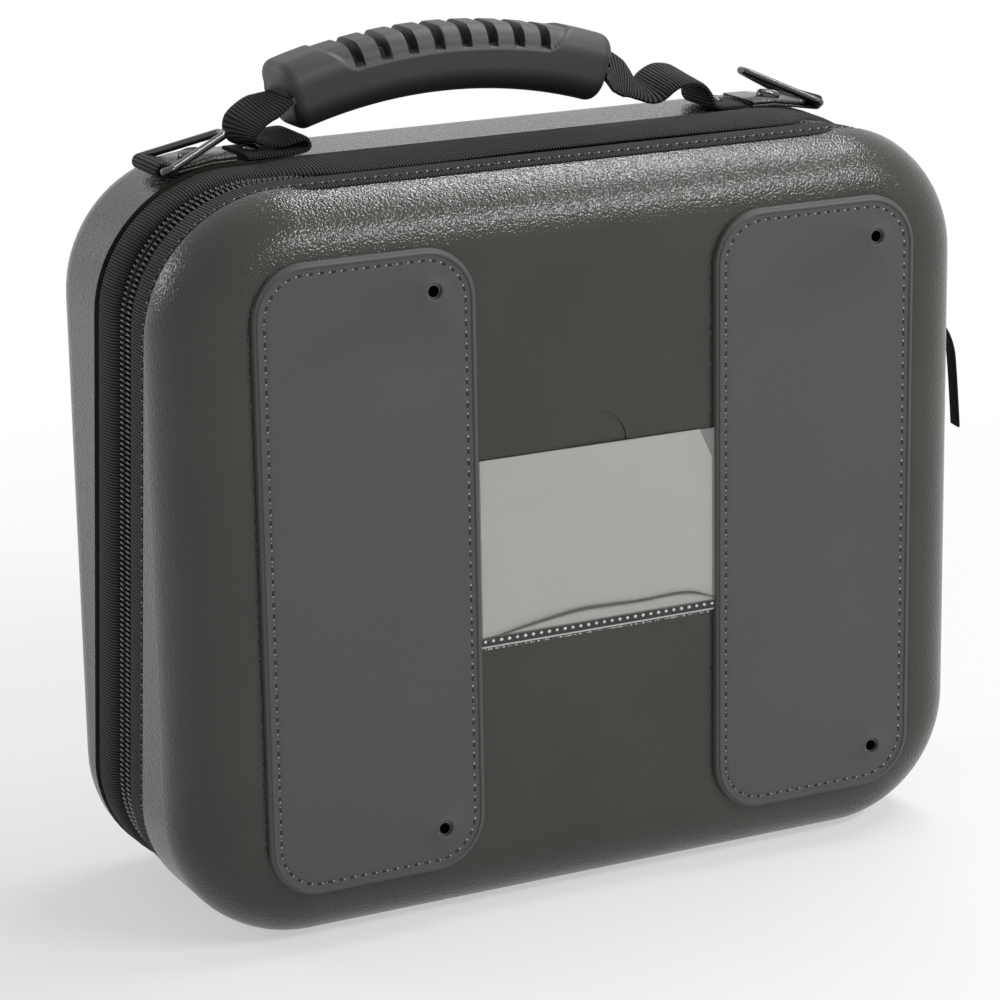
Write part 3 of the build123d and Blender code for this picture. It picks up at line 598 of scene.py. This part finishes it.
def rounded_box(width, height, radius, corner_steps, side_steps, inset=0, centre_x=0, centre_z=0):
    """Points round a rounded rectangle drawn in by an inset, as (across, up, normal across, normal up)."""
    points = []
    for sx, sz, start in ((1, -1, -90), (1, 1, 0), (-1, 1, 90), (-1, -1, 180)):
        cx, cz = centre_x + sx * (width / 2 - radius), centre_z + sz * (height / 2 - radius)
        for k in range(corner_steps + 1):
            a = math.radians(start + 90 * k / corner_steps)
            nx, nz = math.cos(a), math.sin(a)
            points.append((cx + (radius - inset) * nx, cz + (radius - inset) * nz, nx, nz))
        x, z = points[-1][:2]
        tx, tz = -round(nz), round(nx)
        span = (height if tx == 0 else width) - 2 * radius
        points += [
            (x + tx * span * k / side_steps, z + tz * span * k / side_steps, nx, nz) for k in range(1, side_steps)
        ]
    return points


def rounded_outline(centre_x, centre_z, width, height, radius, inset):
    """Points round a rounded rectangle in X and Z, drawn in by an inset."""
    return [(x, z) for x, z, _, _ in rounded_box(width, height, radius, 14, 24, inset, centre_x, centre_z)]


def plate(name, rings, holes, material, base):
    """Flat piece from outline rings of (x, z, height) and hole rings, closed by flat fills."""
    build = bmesh.new()
    loops = []
    for chain in [rings] + holes:
        made = [
            [build.verts.new(Vector((x, base(x, z) - h, z)) * MM) for x, z, h in ring] for ring in chain
        ]
        for a, b in zip(made, made[1:]):
            for k in range(len(a)):
                n = (k + 1) % len(a)
                build.faces.new((a[k], a[n], b[n], b[k]))
        loops.append(made)
    for end in (0, -1):
        edges = []
        for k, chain in enumerate(loops):
            ring = chain[end]
            for i in range(len(ring)):
                a, b = ring[i], ring[(i + 1) % len(ring)]
                edges.append(build.edges.get((a, b)) or build.edges.new((a, b)))
        bmesh.ops.triangle_fill(build, edges=edges, use_beauty=True)
    return keep_mesh(name, build, material, 40)


pad_rubber = speckled(
    "pad rubber", 0.10, 0.7, 900.0, (0.064, 0.064, 0.0622), (0.098, 0.098, 0.0952), (0.5, 0.68), 0.00010,
    Specular_IOR_Level=0.35,
)
# Profiles of the pad's edge, from the shell up and inwards (inset, height), and of the boss at a
# hole, from the pad's face to the hole's wall (radius, height).
PAD_EDGE = [
    (0.0, 0.02), (0.0, 1.7), (0.12, 2.1), (0.4, 2.35), (0.8, 2.45), (1.0, 2.62), (1.25, 3.15), (1.6, 3.25),
    (1.95, 3.1), (2.2, 2.6), (2.7, 2.5), (3.5, 2.48), (3.75, 2.38), (SEAM_INSET, 2.33), (4.45, 2.38), (4.7, 2.48),
    (6.0, 2.5),
]
HOLE_EDGE = [(4.4, 2.5), (4.0, 2.75), (3.5, 2.88), (3.1, 2.8), (2.75, 2.5), (2.66, 2.0), (2.66, 0.02)]
# Painted highlight: the black thread is painted pale grey over the last tenth of each stitch at both ends, where it
# turns into its holes.
stitch_end_highlights, ends_in, ends_out = new_group("stitch end highlights", [("Stitch length", 0.0026)])
ends_math = partial(math_node, stitch_end_highlights)
stitch_axes = stitch_end_highlights.nodes.new("ShaderNodeSeparateXYZ")
stitch_end_highlights.links.new(ends_in.outputs["Vector"], stitch_axes.inputs[0])
along_stitch = ends_math("DIVIDE", stitch_axes.outputs["Y"], ends_in.outputs["Stitch length"])
from_middle = ends_math("ABSOLUTE", ends_math("SUBTRACT", along_stitch, 0.5))
strands = ends_math("SINE", ends_math("MULTIPLY", along_stitch, 40.0))
stitch_end_highlights.links.new(strands, ends_out.inputs["Height"])
stitch_end_highlights.links.new(ends_math("GREATER_THAN", from_middle, 0.40), ends_out.inputs["Mask"])
thread_black = dress(
    "sewing thread", 0.02, 0.5, stitch_end_highlights, "UV", {"Stitch length": 0.0027},
    0.002, (0.42, 0.42, 0.41), (0.55, 0.35), 0.00004,
)
dash = bean("dash", 3.3, 1.05, 0.8)


def pad_outline(centre, inset):
    """Points round a pad, drawn in by an inset."""
    return rounded_outline(centre, PAD_MIDDLE, PAD_WIDTH, PAD_HEIGHT, PAD_CORNER, inset)


for side, centre in (("left", -PAD_CENTRE), ("right", PAD_CENTRE)):
    rings = [[(x, z, h) for x, z in pad_outline(centre, inset)] for inset, h in PAD_EDGE]
    holes = []
    for end in (-1, 1):
        hx, hz = centre + PAD_WIDTH / 2 - HOLE_FROM_SIDE, PAD_MIDDLE + end * (PAD_HEIGHT / 2 - HOLE_FROM_END)
        holes.append([
            [(hx + r * math.cos(a), hz + r * math.sin(a), h) for a in (2 * math.pi * k / 36 for k in range(36))]
            for r, h in HOLE_EDGE[::-1]
        ])
    pad = plate(f"{side}_rubber_pad", rings, holes, pad_rubber, shell_front)
    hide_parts(f"{side}_pad")
    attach(pad, "front_half")
    seam_line = [(x, shell_front(x, z) - 2.3, z) for x, z in pad_outline(centre, SEAM_INSET)]
    stitches = set_along(f"{side}_pad_stitches", seam_line, True, dash, 4.2, (0, -1, 0), 0.15, thread_black)
    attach(stitches, "front_half")

# Hem stitches: one row of dark thread round the front binding, beside the shell's edge. It holds
# the binding's hem to the shell, and follows the binding where that laps over along the top.
hem_line = [band_point(s, "front", (3.2, 0.85), (-0.6, -0.6)) for s in samples]
hem = set_along("front_band_stitches", hem_line, True, dash, 4.0, across_zip, 0.2, thread_black)
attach(hem, "front_half")

# Eyelets: short blackened metal tubes, flanged at the back, that line each pad's two holes and
# hold it to the shell. They are rigid, so the solids carry the finish.
nickel = speckled("dark eyelet", 0.08, 0.3, 800.0, 0.05, 0.16, (0.22, 0.4), 0.00001, Metallic=1.0)
paint([nodes["pad_eyelets"]], nickel)

# Card and clear window: plain grey card behind soft vinyl, which is sewn along its lower edge.
# The vinyl ripples just above the seam, and the card follows it.
WINDOW_LOW, WINDOW_TOP = 103.0, 171.6


def ripple(x, z):
    """Share of the fall below the ripple, which wanders a few millimetres above the seam."""
    t = (x + 48) / 96
    crest_highlight = 108.6 + 3.6 * math.sin(math.pi * min(1.0, 1.15 * t)) + 0.8 * math.sin(9 * t) - 1.2 * t
    return 1 / (1 + math.exp(-(crest_highlight - z) / 0.35))


def film(name, half_width, bottom, top, lift, thickness, dip, material, cut=0.0):
    """Thin sheet on the shell's front as a grid with a back, sides and the ripple."""
    columns, lines = 72, 90
    build = bmesh.new()
    sheets = []
    for outwards in (thickness, 0):
        block = []
        for j in range(lines + 1):
            z = bottom + (top - bottom) * j / lines
            row = []
            for i in range(columns + 1):
                x = -half_width + 2 * half_width * i / columns
                x = min(x, half_width - max(0.0, cut * (1 - (top - z) / (cut * 2.2)) if cut else 0.0))
                sway = 0.12 * math.sin(x / 15 + z / 23) + 0.08 * math.sin(x / 7 - z / 31)
                y = -CASE_DEPTH / 2 - lift + dip * ripple(x, z) - 0.3 * sway - outwards
                row.append(build.verts.new(Vector((x, y, z)) * MM))
            block.append(row)
        sheets.append(block)
    front, rear = sheets
    for j in range(lines):
        for i in range(columns):
            build.faces.new((front[j][i], front[j][i + 1], front[j + 1][i + 1], front[j + 1][i]))
            build.faces.new((rear[j][i], rear[j + 1][i], rear[j + 1][i + 1], rear[j][i + 1]))
    rim = [(0, i) for i in range(columns)] + [(j, columns) for j in range(lines)]
    rim += [(lines, i) for i in range(columns, 0, -1)] + [(j, 0) for j in range(lines, 0, -1)]
    for (j, i), (m, n) in zip(rim, rim[1:] + rim[:1]):
        build.faces.new((front[j][i], rear[j][i], rear[m][n], front[m][n]))
    return keep_mesh(name, build, material, 50)


card_stock = speckled(
    "grey card", (0.42, 0.40, 0.36), 0.6, 120.0,
    (0.385, 0.372, 0.340), (0.455, 0.440, 0.402), (0.5, 0.62), 0.0000003,
)
card = film("card", 47.0, WINDOW_LOW + 3.3, WINDOW_TOP, 0.42, 0.5, 0.12, card_stock, cut=5.0)
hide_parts("card_insert")
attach(card, "card")
vinyl, vinyl_shader = finish("clear vinyl", (0.75, 0.75, 0.73), 0.18, Alpha=0.16, Coat_Weight=0.3)
vinyl_tree = vinyl.node_tree
vinyl_place = vinyl_tree.nodes.new("ShaderNodeTexCoord").outputs["Object"]
sheet_wave = texture(vinyl_tree, "Noise", vinyl_place, 60.0, Detail=2.0)
vinyl_bump = vinyl_tree.nodes.new("ShaderNodeBump")
vinyl_bump.inputs["Distance"].default_value = 0.0002
vinyl_tree.links.new(sheet_wave.outputs[0], vinyl_bump.inputs["Height"])
vinyl_tree.links.new(vinyl_bump.outputs[0], vinyl_shader.inputs["Normal"])
WINDOW_HALF, DOTS_HALF = 47.9, 46.5
window = film("clear_window", WINDOW_HALF, WINDOW_LOW + 2.8, WINDOW_TOP, 1.1, 0.45, 0.22, vinyl)
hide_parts("card_window")
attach(window, "front_half")


def level_line(half, y, z):
    """A level line across the case, as its two ends and its middle."""
    return [(-half, y, z), (0, y, z), (half, y, z)]


hem_bar = webbing("window_hem", level_line(WINDOW_HALF, -60.3, 104.4), (0, 0, 1), 3.0, 1.5, nylon)
# Painted highlights in pale grey-white: dots along the seam, a strip along the vinyl's lower edge and small glints
# under it stand for light reflected by the vinyl and its edge.
pinch = bean("pinch", 1.5, 1.3, 1.0)
vinyl_highlight_white = speckled(
    "painted vinyl highlight", (0.7, 0.7, 0.68), 0.15, 900.0,
    (0.55, 0.55, 0.53), (0.8, 0.8, 0.78), (0.1, 0.25), 0.00001, Coat_Weight=0.5,
)
seam_highlight_line = [(-DOTS_HALF, -61.2, 104.9), (DOTS_HALF, -61.2, 104.9)]
seam_highlights = set_along("window_seam_dots", seam_highlight_line, False, pinch, 3.2, (0, -1, 0), 0.15, vinyl_highlight_white)
lip_highlight = webbing("window_lip", level_line(WINDOW_HALF, -59.9, 102.6), (0, 0, 1), 0.9, 0.8, vinyl_highlight_white)
glint = bean("glint", 0.9, 0.75, 0.6)
glint_line = [(-DOTS_HALF, -59.8, 101.5), (DOTS_HALF, -59.8, 101.5)]
glints = set_along("window_lip_glints", glint_line, False, glint, 1.0, (0, -1, 0), 0.95, vinyl_highlight_white)
# Painted shade: a dark strip laid along the ripple stands for the shade in the vinyl's fold above the seam.
fold_shade = speckled(
    "painted fold shade", (0.08, 0.08, 0.075), 0.2, 500.0,
    (0.05, 0.049, 0.045), (0.12, 0.118, 0.11), (0.15, 0.3), 0.00001,
)
fold_shade_strip = webbing(
    "window_fold",
    [
        (-47.5, -61.15, 104.9), (-38.0, -61.2, 107.2), (-24.0, -61.2, 109.3), (-8.0, -61.2, 111.4),
        (5.0, -61.2, 111.0), (18.0, -61.2, 110.5), (31.0, -61.2, 111.2), (40.0, -61.2, 110.4), (47.5, -61.15, 107.2),
    ],
    (0, 0, 1), 1.15, 0.5, fold_shade, widths=((0, 0.3), (0.2, 0.8), (0.45, 1), (0.7, 0.75), (0.9, 0.9), (1, 0.3)),
)
for thing in (hem_bar, seam_highlights, lip_highlight, glints, fold_shade_strip):
    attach(thing, "front_half")
for spare in (dash, pinch, glint):
    bpy.data.objects.remove(spare)

# Grip: black rubber moulded round the webbing as one arched piece, with a recessed top cut by
# slots between eight finger ribs, and a flat bore through it for the webbing.
GRIP_MIDDLE, GRIP_LENGTH, GRIP_RISE, GRIP_END_Z, CARRY_Y = -20.4, 127.6, 10.3, 292.7, 22.5
GRIP_WIDTH, GRIP_HEIGHT, GRIP_ROUND, GRIP_END_ROUND = 28.0, 25.5, 9.0, 4.0
GRIP_RADIUS = (GRIP_LENGTH**2 / 4 + GRIP_RISE**2) / (2 * GRIP_RISE)
ARC_HALF = GRIP_RADIUS * math.asin(GRIP_LENGTH / 2 / GRIP_RADIUS)
RIBS, RIB_PITCH, SLOT_DEPTH = 8, 10.5, 5.2


def grip_frame(s):
    """Point and up direction on the grip's arch at a distance from its middle."""
    a = s / GRIP_RADIUS
    centre_z = GRIP_END_Z + GRIP_RISE - GRIP_RADIUS
    up = Vector((math.sin(a), 0, math.cos(a)))
    return Vector((GRIP_MIDDLE, CARRY_Y, centre_z)) + up * GRIP_RADIUS, up


def ease(value, low, high):
    """Smooth step from 0 at low to 1 at high."""
    t = min(1.0, max(0.0, (value - low) / (high - low)))
    return t * t * (3 - 2 * t)


def grip_cut(s, up):
    """How far the grip's skin is drawn in: the recess along the top and the slots between ribs."""
    zone = RIBS * RIB_PITCH / 2 + 3.0
    edge = 3.2 + 9.0 * ease(abs(s), zone - 7.0, zone + 3.0)
    recess = 1.0 * ease(up, edge, edge + 0.8) * (1 - ease(abs(s), zone + 2.0, zone + 3.5))
    nearest = (round(s / RIB_PITCH - 0.5) + 0.5) * RIB_PITCH
    if abs(nearest) > RIBS * RIB_PITCH / 2:
        return recess
    slot = SLOT_DEPTH * (1 - ease(abs(s - nearest), 1.45, 2.0)) * ease(up, edge + 1.3, edge + 2.2)
    return recess + slot


section = rounded_box(GRIP_WIDTH, GRIP_HEIGHT, GRIP_ROUND, 10, 10)
bore = rounded_box(25.5, 2.7, 0.4, 10, 10)
end_turn = [math.radians(a) for a in range(0, 90, 15)]
stations = [
    (-ARC_HALF + GRIP_END_ROUND * (1 - math.cos(a)), GRIP_END_ROUND * (1 - math.sin(a))) for a in end_turn
]
straight = 2 * ARC_HALF - 2 * GRIP_END_ROUND
stations += [(-ARC_HALF + GRIP_END_ROUND + straight * k / 330, 0.0) for k in range(331)]
stations += [(-s, inset) for s, inset in stations[: len(end_turn)][::-1]]
skin = []
for s, inset in stations:
    place, up = grip_frame(s)
    skin.append([
        place + Vector((0, q - nq * (inset + grip_cut(s, p)), 0)) + up * (p - np_ * (inset + grip_cut(s, p)))
        for q, p, nq, np_ in section
    ])
inner = []
for k in range(41):
    place, up = grip_frame(ARC_HALF - 2 * ARC_HALF * k / 40)
    inner.append([place + Vector((0, q, 0)) + up * p for q, p, _, _ in bore])
grip_rubber = speckled(
    "grip rubber", 0.05, 0.5, 650.0, (0.019, 0.019, 0.0185), (0.030, 0.030, 0.029), (0.42, 0.6), 0.00006
)
grip = grid_piece("rubber_grip", skin + inner, grip_rubber)
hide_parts("handle_grip")
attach(grip, "handle")

# Handle webbing: ribbed nylon tape through the grip, folded down to a rivet on the left and
# twisted over in an arch to a rivet on the right.
STRAP_WIDTH, STRAP_THICKNESS = 25.0, 2.2
strap_tape = ribbed("ribbed webbing", 0.001, (0.060, 0.060, 0.058), 0.0012, 0.0006)
core_line = [grip_frame(-ARC_HALF + 2 * ARC_HALF * k / 8)[0] for k in range(9)]
core = webbing("webbing_in_grip", core_line, (0, 1, 0), STRAP_WIDTH, 2.0, strap_tape, step=4.0)
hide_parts("handle_webbing")
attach(core, "handle")
TOP = CASE_HEIGHT
PLY = TOP + 1.1
left_end, right_end = grip_frame(-ARC_HALF)[0], grip_frame(ARC_HALF)[0]


def strap(name, end, route, rolls, widths, cup):
    """A strap from the grip's end down a route of (x, z) in the handle's plane."""
    points = [end] + [(x, CARRY_Y, z) for x, z in route]
    return webbing(
        name, points, (0, 1, 0), STRAP_WIDTH, STRAP_THICKNESS, strap_tape,
        rolls=rolls, widths=widths, cup=cup, step=0.8,
    )


left_strap = strap(
    "left_strap", left_end,
    [
        (-88.5, 290.6), (-94.5, 288.4), (-100.0, 283.8), (-99.8, 278.2), (-93.0, 276.9), (-86.0, 278.6),
        (-78.5, 279.6), (-77.4, 274.9), (-84.0, PLY), (-102.0, PLY),
    ],
    rolls=((0, 0), (0.1, -13), (0.24, -20), (0.38, -8), (0.5, 6), (0.62, 0), (1, 0)),
    widths=((0, 1), (0.16, 0.84), (0.32, 0.74), (0.46, 0.84), (0.65, 1), (1, 1)), cup=3.5,
)
right_strap = strap(
    "right_strap", right_end,
    [
        (50.0, 291.0), (56.5, 287.0), (61.5, 282.2), (66.5, 281.2), (70.5, 285.0), (76.0, 287.2), (83.0, 286.2),
        (88.0, 281.0), (88.5, 275.4), (93.0, PLY), (102.0, PLY),
    ],
    rolls=((0, 14), (0.08, 34), (0.2, 40), (0.32, 24), (0.48, 14), (0.62, 8), (0.8, 0), (1, 0)),
    widths=((0, 1), (0.14, 0.95), (0.3, 0.62), (0.42, 0.84), (0.56, 1), (1, 1)), cup=3.0,
)
for thing, node, end in ((left_strap, "handle_strap_left", left_end), (right_strap, "handle_strap_right", right_end)):
    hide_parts(node)
    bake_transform(thing)


# Ring tabs: a doubled strip riveted to each top corner and looped round the bar of its wire ring.
# It is covered like the case where it lies on it, and bare webbing round the loop.
def corner_place(side, angle, out):
    """Point on a top corner of the case, turned outwards from the flat."""
    a = math.radians(angle)
    across, over = CASE_WIDTH / 2 - CORNER + (CORNER + out) * math.sin(a), (CORNER + out) * math.cos(a)
    return Vector((side * across, CARRY_Y, CASE_HEIGHT - CORNER + over))


BEND, TONGUE, PLY_THICK, BAR, TAB_HALF = 9.5, 15.0, 1.3, 1.58, 11.5
LOWER_LIFT, UPPER_LIFT = 0.65, 1.97
TAB_SECTION = [
    (-1, -0.3), (-0.97, -0.6), (0, -0.62), (0.97, -0.6), (1, -0.3),
    (1, 0.3), (0.97, 0.6), (0, 0.62), (-0.97, 0.6), (-1, 0.3),
]
flat_start = CASE_WIDTH / 2 - CORNER - 4.9
for side, label in ((-1, "left"), (1, "right")):
    a = math.radians(BEND)
    along, out = Vector((side * math.cos(a), 0, -math.sin(a))), Vector((side * math.sin(a), 0, math.cos(a)))
    root = corner_place(side, BEND, 0)
    lower_ply, upper_ply = (
        [Vector((side * flat_start, CARRY_Y, TOP + lift)), corner_place(side, BEND / 2, lift)]
        for lift in (LOWER_LIFT, UPPER_LIFT)
    )
    lower_ply.append(root + along * 5 + out * LOWER_LIFT)
    upper_ply.append(root + along * 8 + out * 1.98)
    turn_round = BAR + LOWER_LIFT
    bar = root + along * TONGUE + out * (BAR + PLY_THICK)
    loop = [
        bar + (along * math.sin(t) - out * math.cos(t)) * turn_round
        for t in (math.radians(d) for d in range(0, 241, 20))
    ]
    line, _ = evenly(np.array(lower_ply + loop + upper_ply[::-1]), count=110)
    rows = []
    for place, t in zip(line, np.gradient(line, axis=0)):
        over = Vector(t).normalized().cross(Vector((0, 1, 0)))
        rows.append([Vector(place) + Vector((0, q * TAB_HALF, 0)) + over * p for q, p in TAB_SECTION])
    tab = grid_piece(f"{label}_tab", rows, strap_tape, closed=False, caps=True)
    tab.data.materials.append(cover)
    for face in tab.data.polygons:
        if abs(face.center.x) < (abs(bar.x) - 6.0) * MM:
            face.material_index = 1
    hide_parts(f"ring_tab_{label}")
    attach(tab, "back_half")

# Rivets: domed heads in black nickel, two on the straps' ends and two on the ring tabs. Each
# shank goes through the back shell. They are rigid, so the solids carry the finish.
black_nickel = speckled(
    "black nickel", (0.06, 0.06, 0.065), 0.22, 400.0,
    (0.05, 0.05, 0.055), (0.12, 0.12, 0.125), (0.16, 0.3), 0.00001, Metallic=1.0,
)
paint([nodes["strap_rivets"], nodes["tab_rivets"]], black_nickel)


# Inside: napped liners glued in both shells, two foam trays, a strap over the device and a mesh
# pocket in the lid.
def softened(name, node, voxel, rounds, material):
    """A soft copy of a solid: merged, and where a voxel size is given, remeshed and smoothed."""
    thing = put(name, nodes[node].data.copy())
    build = bmesh.new()
    build.from_mesh(thing.data)
    bmesh.ops.remove_doubles(build, verts=build.verts, dist=1e-6)
    build.to_mesh(thing.data)
    build.free()
    if voxel:
        modifier = thing.modifiers.new("remesh", "REMESH")
        modifier.mode, modifier.voxel_size = "VOXEL", voxel
        smooth = thing.modifiers.new("smooth", "SMOOTH")
        smooth.factor, smooth.iterations = 0.5, rounds
        made = as_mesh(thing)
        thing.modifiers.clear()
        thing.data = made
        for face in made.polygons:
            face.use_smooth = True
    thing.data.materials.clear()
    thing.data.materials.append(material)
    return thing


foam_finish = speckled(
    "open-cell foam", (0.035, 0.035, 0.038), 0.95, 1100.0,
    (0.018, 0.018, 0.020), (0.060, 0.060, 0.064), (0.85, 1.0), 0.0006,
)
liner_finish = speckled(
    "napped liner", (0.03, 0.03, 0.032), 0.9, 1800.0,
    (0.016, 0.016, 0.018), (0.045, 0.045, 0.048), (0.85, 1.0), 0.0003, Sheen_Weight=0.4, Sheen_Roughness=0.5,
)
for half in ("front", "back"):
    tray = softened(f"{half}_foam_tray", f"{half}_foam", 0.0028, 3, foam_finish)
    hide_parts(f"{half}_foam")
    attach(tray, f"{half}_half")
    lining = softened(f"{half}_lining", f"{half}_liner", 0, 0, liner_finish)
    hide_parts(f"{half}_liner")
    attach(lining, f"{half}_half")
INSIDE_MIDDLE = 136.5
hold = webbing("device_hold_strap", level_line(137.4, 45.35, INSIDE_MIDDLE), (0, 0, 1), 40.0, 1.6, strap_tape)
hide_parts("device_strap")
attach(hold, "back_half")
open_mesh, mesh_in, mesh_out = new_group("open mesh", [("Holes per metre", 330.0)])
mesh_math = partial(math_node, open_mesh)
axes = open_mesh.nodes.new("ShaderNodeSeparateXYZ")
open_mesh.links.new(mesh_in.outputs["Vector"], axes.inputs[0])
turns = mesh_math("MULTIPLY", mesh_in.outputs["Holes per metre"], 2 * math.pi)
waves = mesh_math(
    "MULTIPLY",
    mesh_math("SINE", mesh_math("MULTIPLY", axes.outputs["X"], turns)),
    mesh_math("SINE", mesh_math("MULTIPLY", axes.outputs["Z"], turns)),
)
hole_depth = mesh_math("ABSOLUTE", waves)
open_mesh.links.new(mesh_math("MULTIPLY", hole_depth, -1.0), mesh_out.inputs["Height"])
open_mesh.links.new(mesh_math("SUBTRACT", 1.0, hole_depth), mesh_out.inputs["Mask"])
mesh_cloth = dress(
    "pocket mesh", (0.06, 0.06, 0.062), 0.8, open_mesh, "Object", {"Holes per metre": 330.0},
    0.004, (0.075, 0.075, 0.078), (0.9, 0.65), 0.0005,
)
hem_cloth = speckled("pocket hem", 0.03, 0.8, 1400.0, 0.012, 0.045, (0.7, 0.9), 0.0002)
POCKET_EDGE = (
    (0.3, 0.0), (0.0, 0.4), (0.2, 1.2), (1.2, 1.6), (7.0, 1.65), (8.2, 1.4), (8.6, 1.0), (12.0, 0.9), (20.0, 1.0),
    (34.0, 1.2),
)
POCKET_Y, MESH_HALF_WIDTH, MESH_HALF_HEIGHT = -44.75, 96.5, 61.5
pocket_rings = [
    [(x, z, h) for x, z in rounded_outline(0, INSIDE_MIDDLE, 210.0, 140.0, 11.0, inset)] for inset, h in POCKET_EDGE
]
pocket = plate("lid_mesh_pocket", pocket_rings, [], hem_cloth, lambda x, z: POCKET_Y)
pocket.data.materials.append(mesh_cloth)
for face in pocket.data.polygons:
    x, z = face.center.x, face.center.z
    if abs(x) < MESH_HALF_WIDTH * MM and abs(z - INSIDE_MIDDLE * MM) < MESH_HALF_HEIGHT * MM:
        face.material_index = 1
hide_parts("lid_pocket")
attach(pocket, "front_half")


# Floor: a wide sheet of white paper under the case, which keeps its shadow. Away from the case it
# fades to plain white where the camera and the gloss see it, so that no horizon shows.
def seen_directly(tree):
    """1 for a ray of the camera, of gloss or of transmission, and otherwise 0."""
    kind = tree.nodes.new("ShaderNodeLightPath").outputs
    beyond = math_node(tree, "MAXIMUM", kind["Is Glossy Ray"], kind["Is Transmission Ray"])
    return math_node(tree, "MAXIMUM", kind["Is Camera Ray"], beyond)


FLOOR_HALF, FLOOR_Z = 6, -0.0002
floor_mesh = bpy.data.meshes.new("floor")
floor_corners = [(x * FLOOR_HALF, y * FLOOR_HALF, FLOOR_Z) for x, y in ((-1, -1), (1, -1), (1, 1), (-1, 1))]
floor_mesh.from_pydata(floor_corners, [], [(0, 1, 2, 3)])
floor = put("floor", floor_mesh)
paper, paper_shader = finish("white paper", 0.93, 0.9, Specular_IOR_Level=0.1)
paper_tree = paper.node_tree
glow, blend_in = paper_tree.nodes.new("ShaderNodeEmission"), paper_tree.nodes.new("ShaderNodeMixShader")
paper_place, from_case = paper_tree.nodes.new("ShaderNodeTexCoord"), paper_tree.nodes.new("ShaderNodeVectorMath")
from_case.operation = "LENGTH"
paper_tree.links.new(paper_place.outputs["Object"], from_case.inputs[0])
fade = paper_tree.nodes.new("ShaderNodeMapRange")
fade.interpolation_type = "SMOOTHSTEP"
for label, value in (("From Min", 0.2), ("From Max", 0.75), ("To Min", 0.5), ("To Max", 1.0)):
    fade.inputs[label].default_value = value
paper_tree.links.new(from_case.outputs["Value"], fade.inputs["Value"])
glow_share = math_node(paper_tree, "MULTIPLY", fade.outputs[0], seen_directly(paper_tree))
paper_tree.links.new(glow_share, blend_in.inputs[0])
paper_tree.links.new(paper_shader.outputs[0], blend_in.inputs[1])
paper_tree.links.new(glow.outputs[0], blend_in.inputs[2])
paper_tree.links.new(blend_in.outputs[0], paper_tree.nodes["Material Output"].inputs["Surface"])
paint([floor], paper)


# Lamps and background: a long narrow soft lamp overhead, a wide one in front and a square one
# behind. The world is plain white to look at and dim as light.
def lamp(name, place, aim, width, depth, power):
    """A soft box lamp at a place, turned to a point."""
    light = bpy.data.lights.new(name, "AREA")
    light.shape, light.size, light.size_y, light.energy = "RECTANGLE", width, depth, power
    to_aim = (Vector(aim) - Vector(place)).to_track_quat("-Z", "Y").to_matrix().to_4x4()
    put(name, light).matrix_world = Matrix.Translation(place) @ to_aim


lamp("overhead", (0.58, 0.1, 1.3), (0, -0.05, 0.25), 1.1, 0.07, 10)
lamp("from_behind", (-1.1, 0.9, 0.7), (-0.1, 0, 0.15), 0.4, 0.4, 3)
lamp("from_front", (0.72, -1.2, 1.15), (0, -0.05, 0.16), 0.8, 0.14, 11.5)
world = bpy.data.worlds.new("studio")
bpy.context.scene.world = world
world.use_nodes = True
sky = world.node_tree
sky.nodes.clear()
sky_out = sky.nodes.new("ShaderNodeOutputWorld")
mix = sky.nodes.new("ShaderNodeMixShader")
seen, lit = sky.nodes.new("ShaderNodeBackground"), sky.nodes.new("ShaderNodeBackground")
for shade, strength in ((seen, 1.0), (lit, 0.3)):
    shade.inputs["Color"].default_value = (1, 1, 1, 1)
    shade.inputs["Strength"].default_value = strength
sky.links.new(seen_directly(sky), mix.inputs[0])
sky.links.new(lit.outputs[0], mix.inputs[1])
sky.links.new(seen.outputs[0], mix.inputs[2])
sky.links.new(mix.outputs[0], sky_out.inputs[0])
bpy.context.scene.view_settings.view_transform = "Standard"
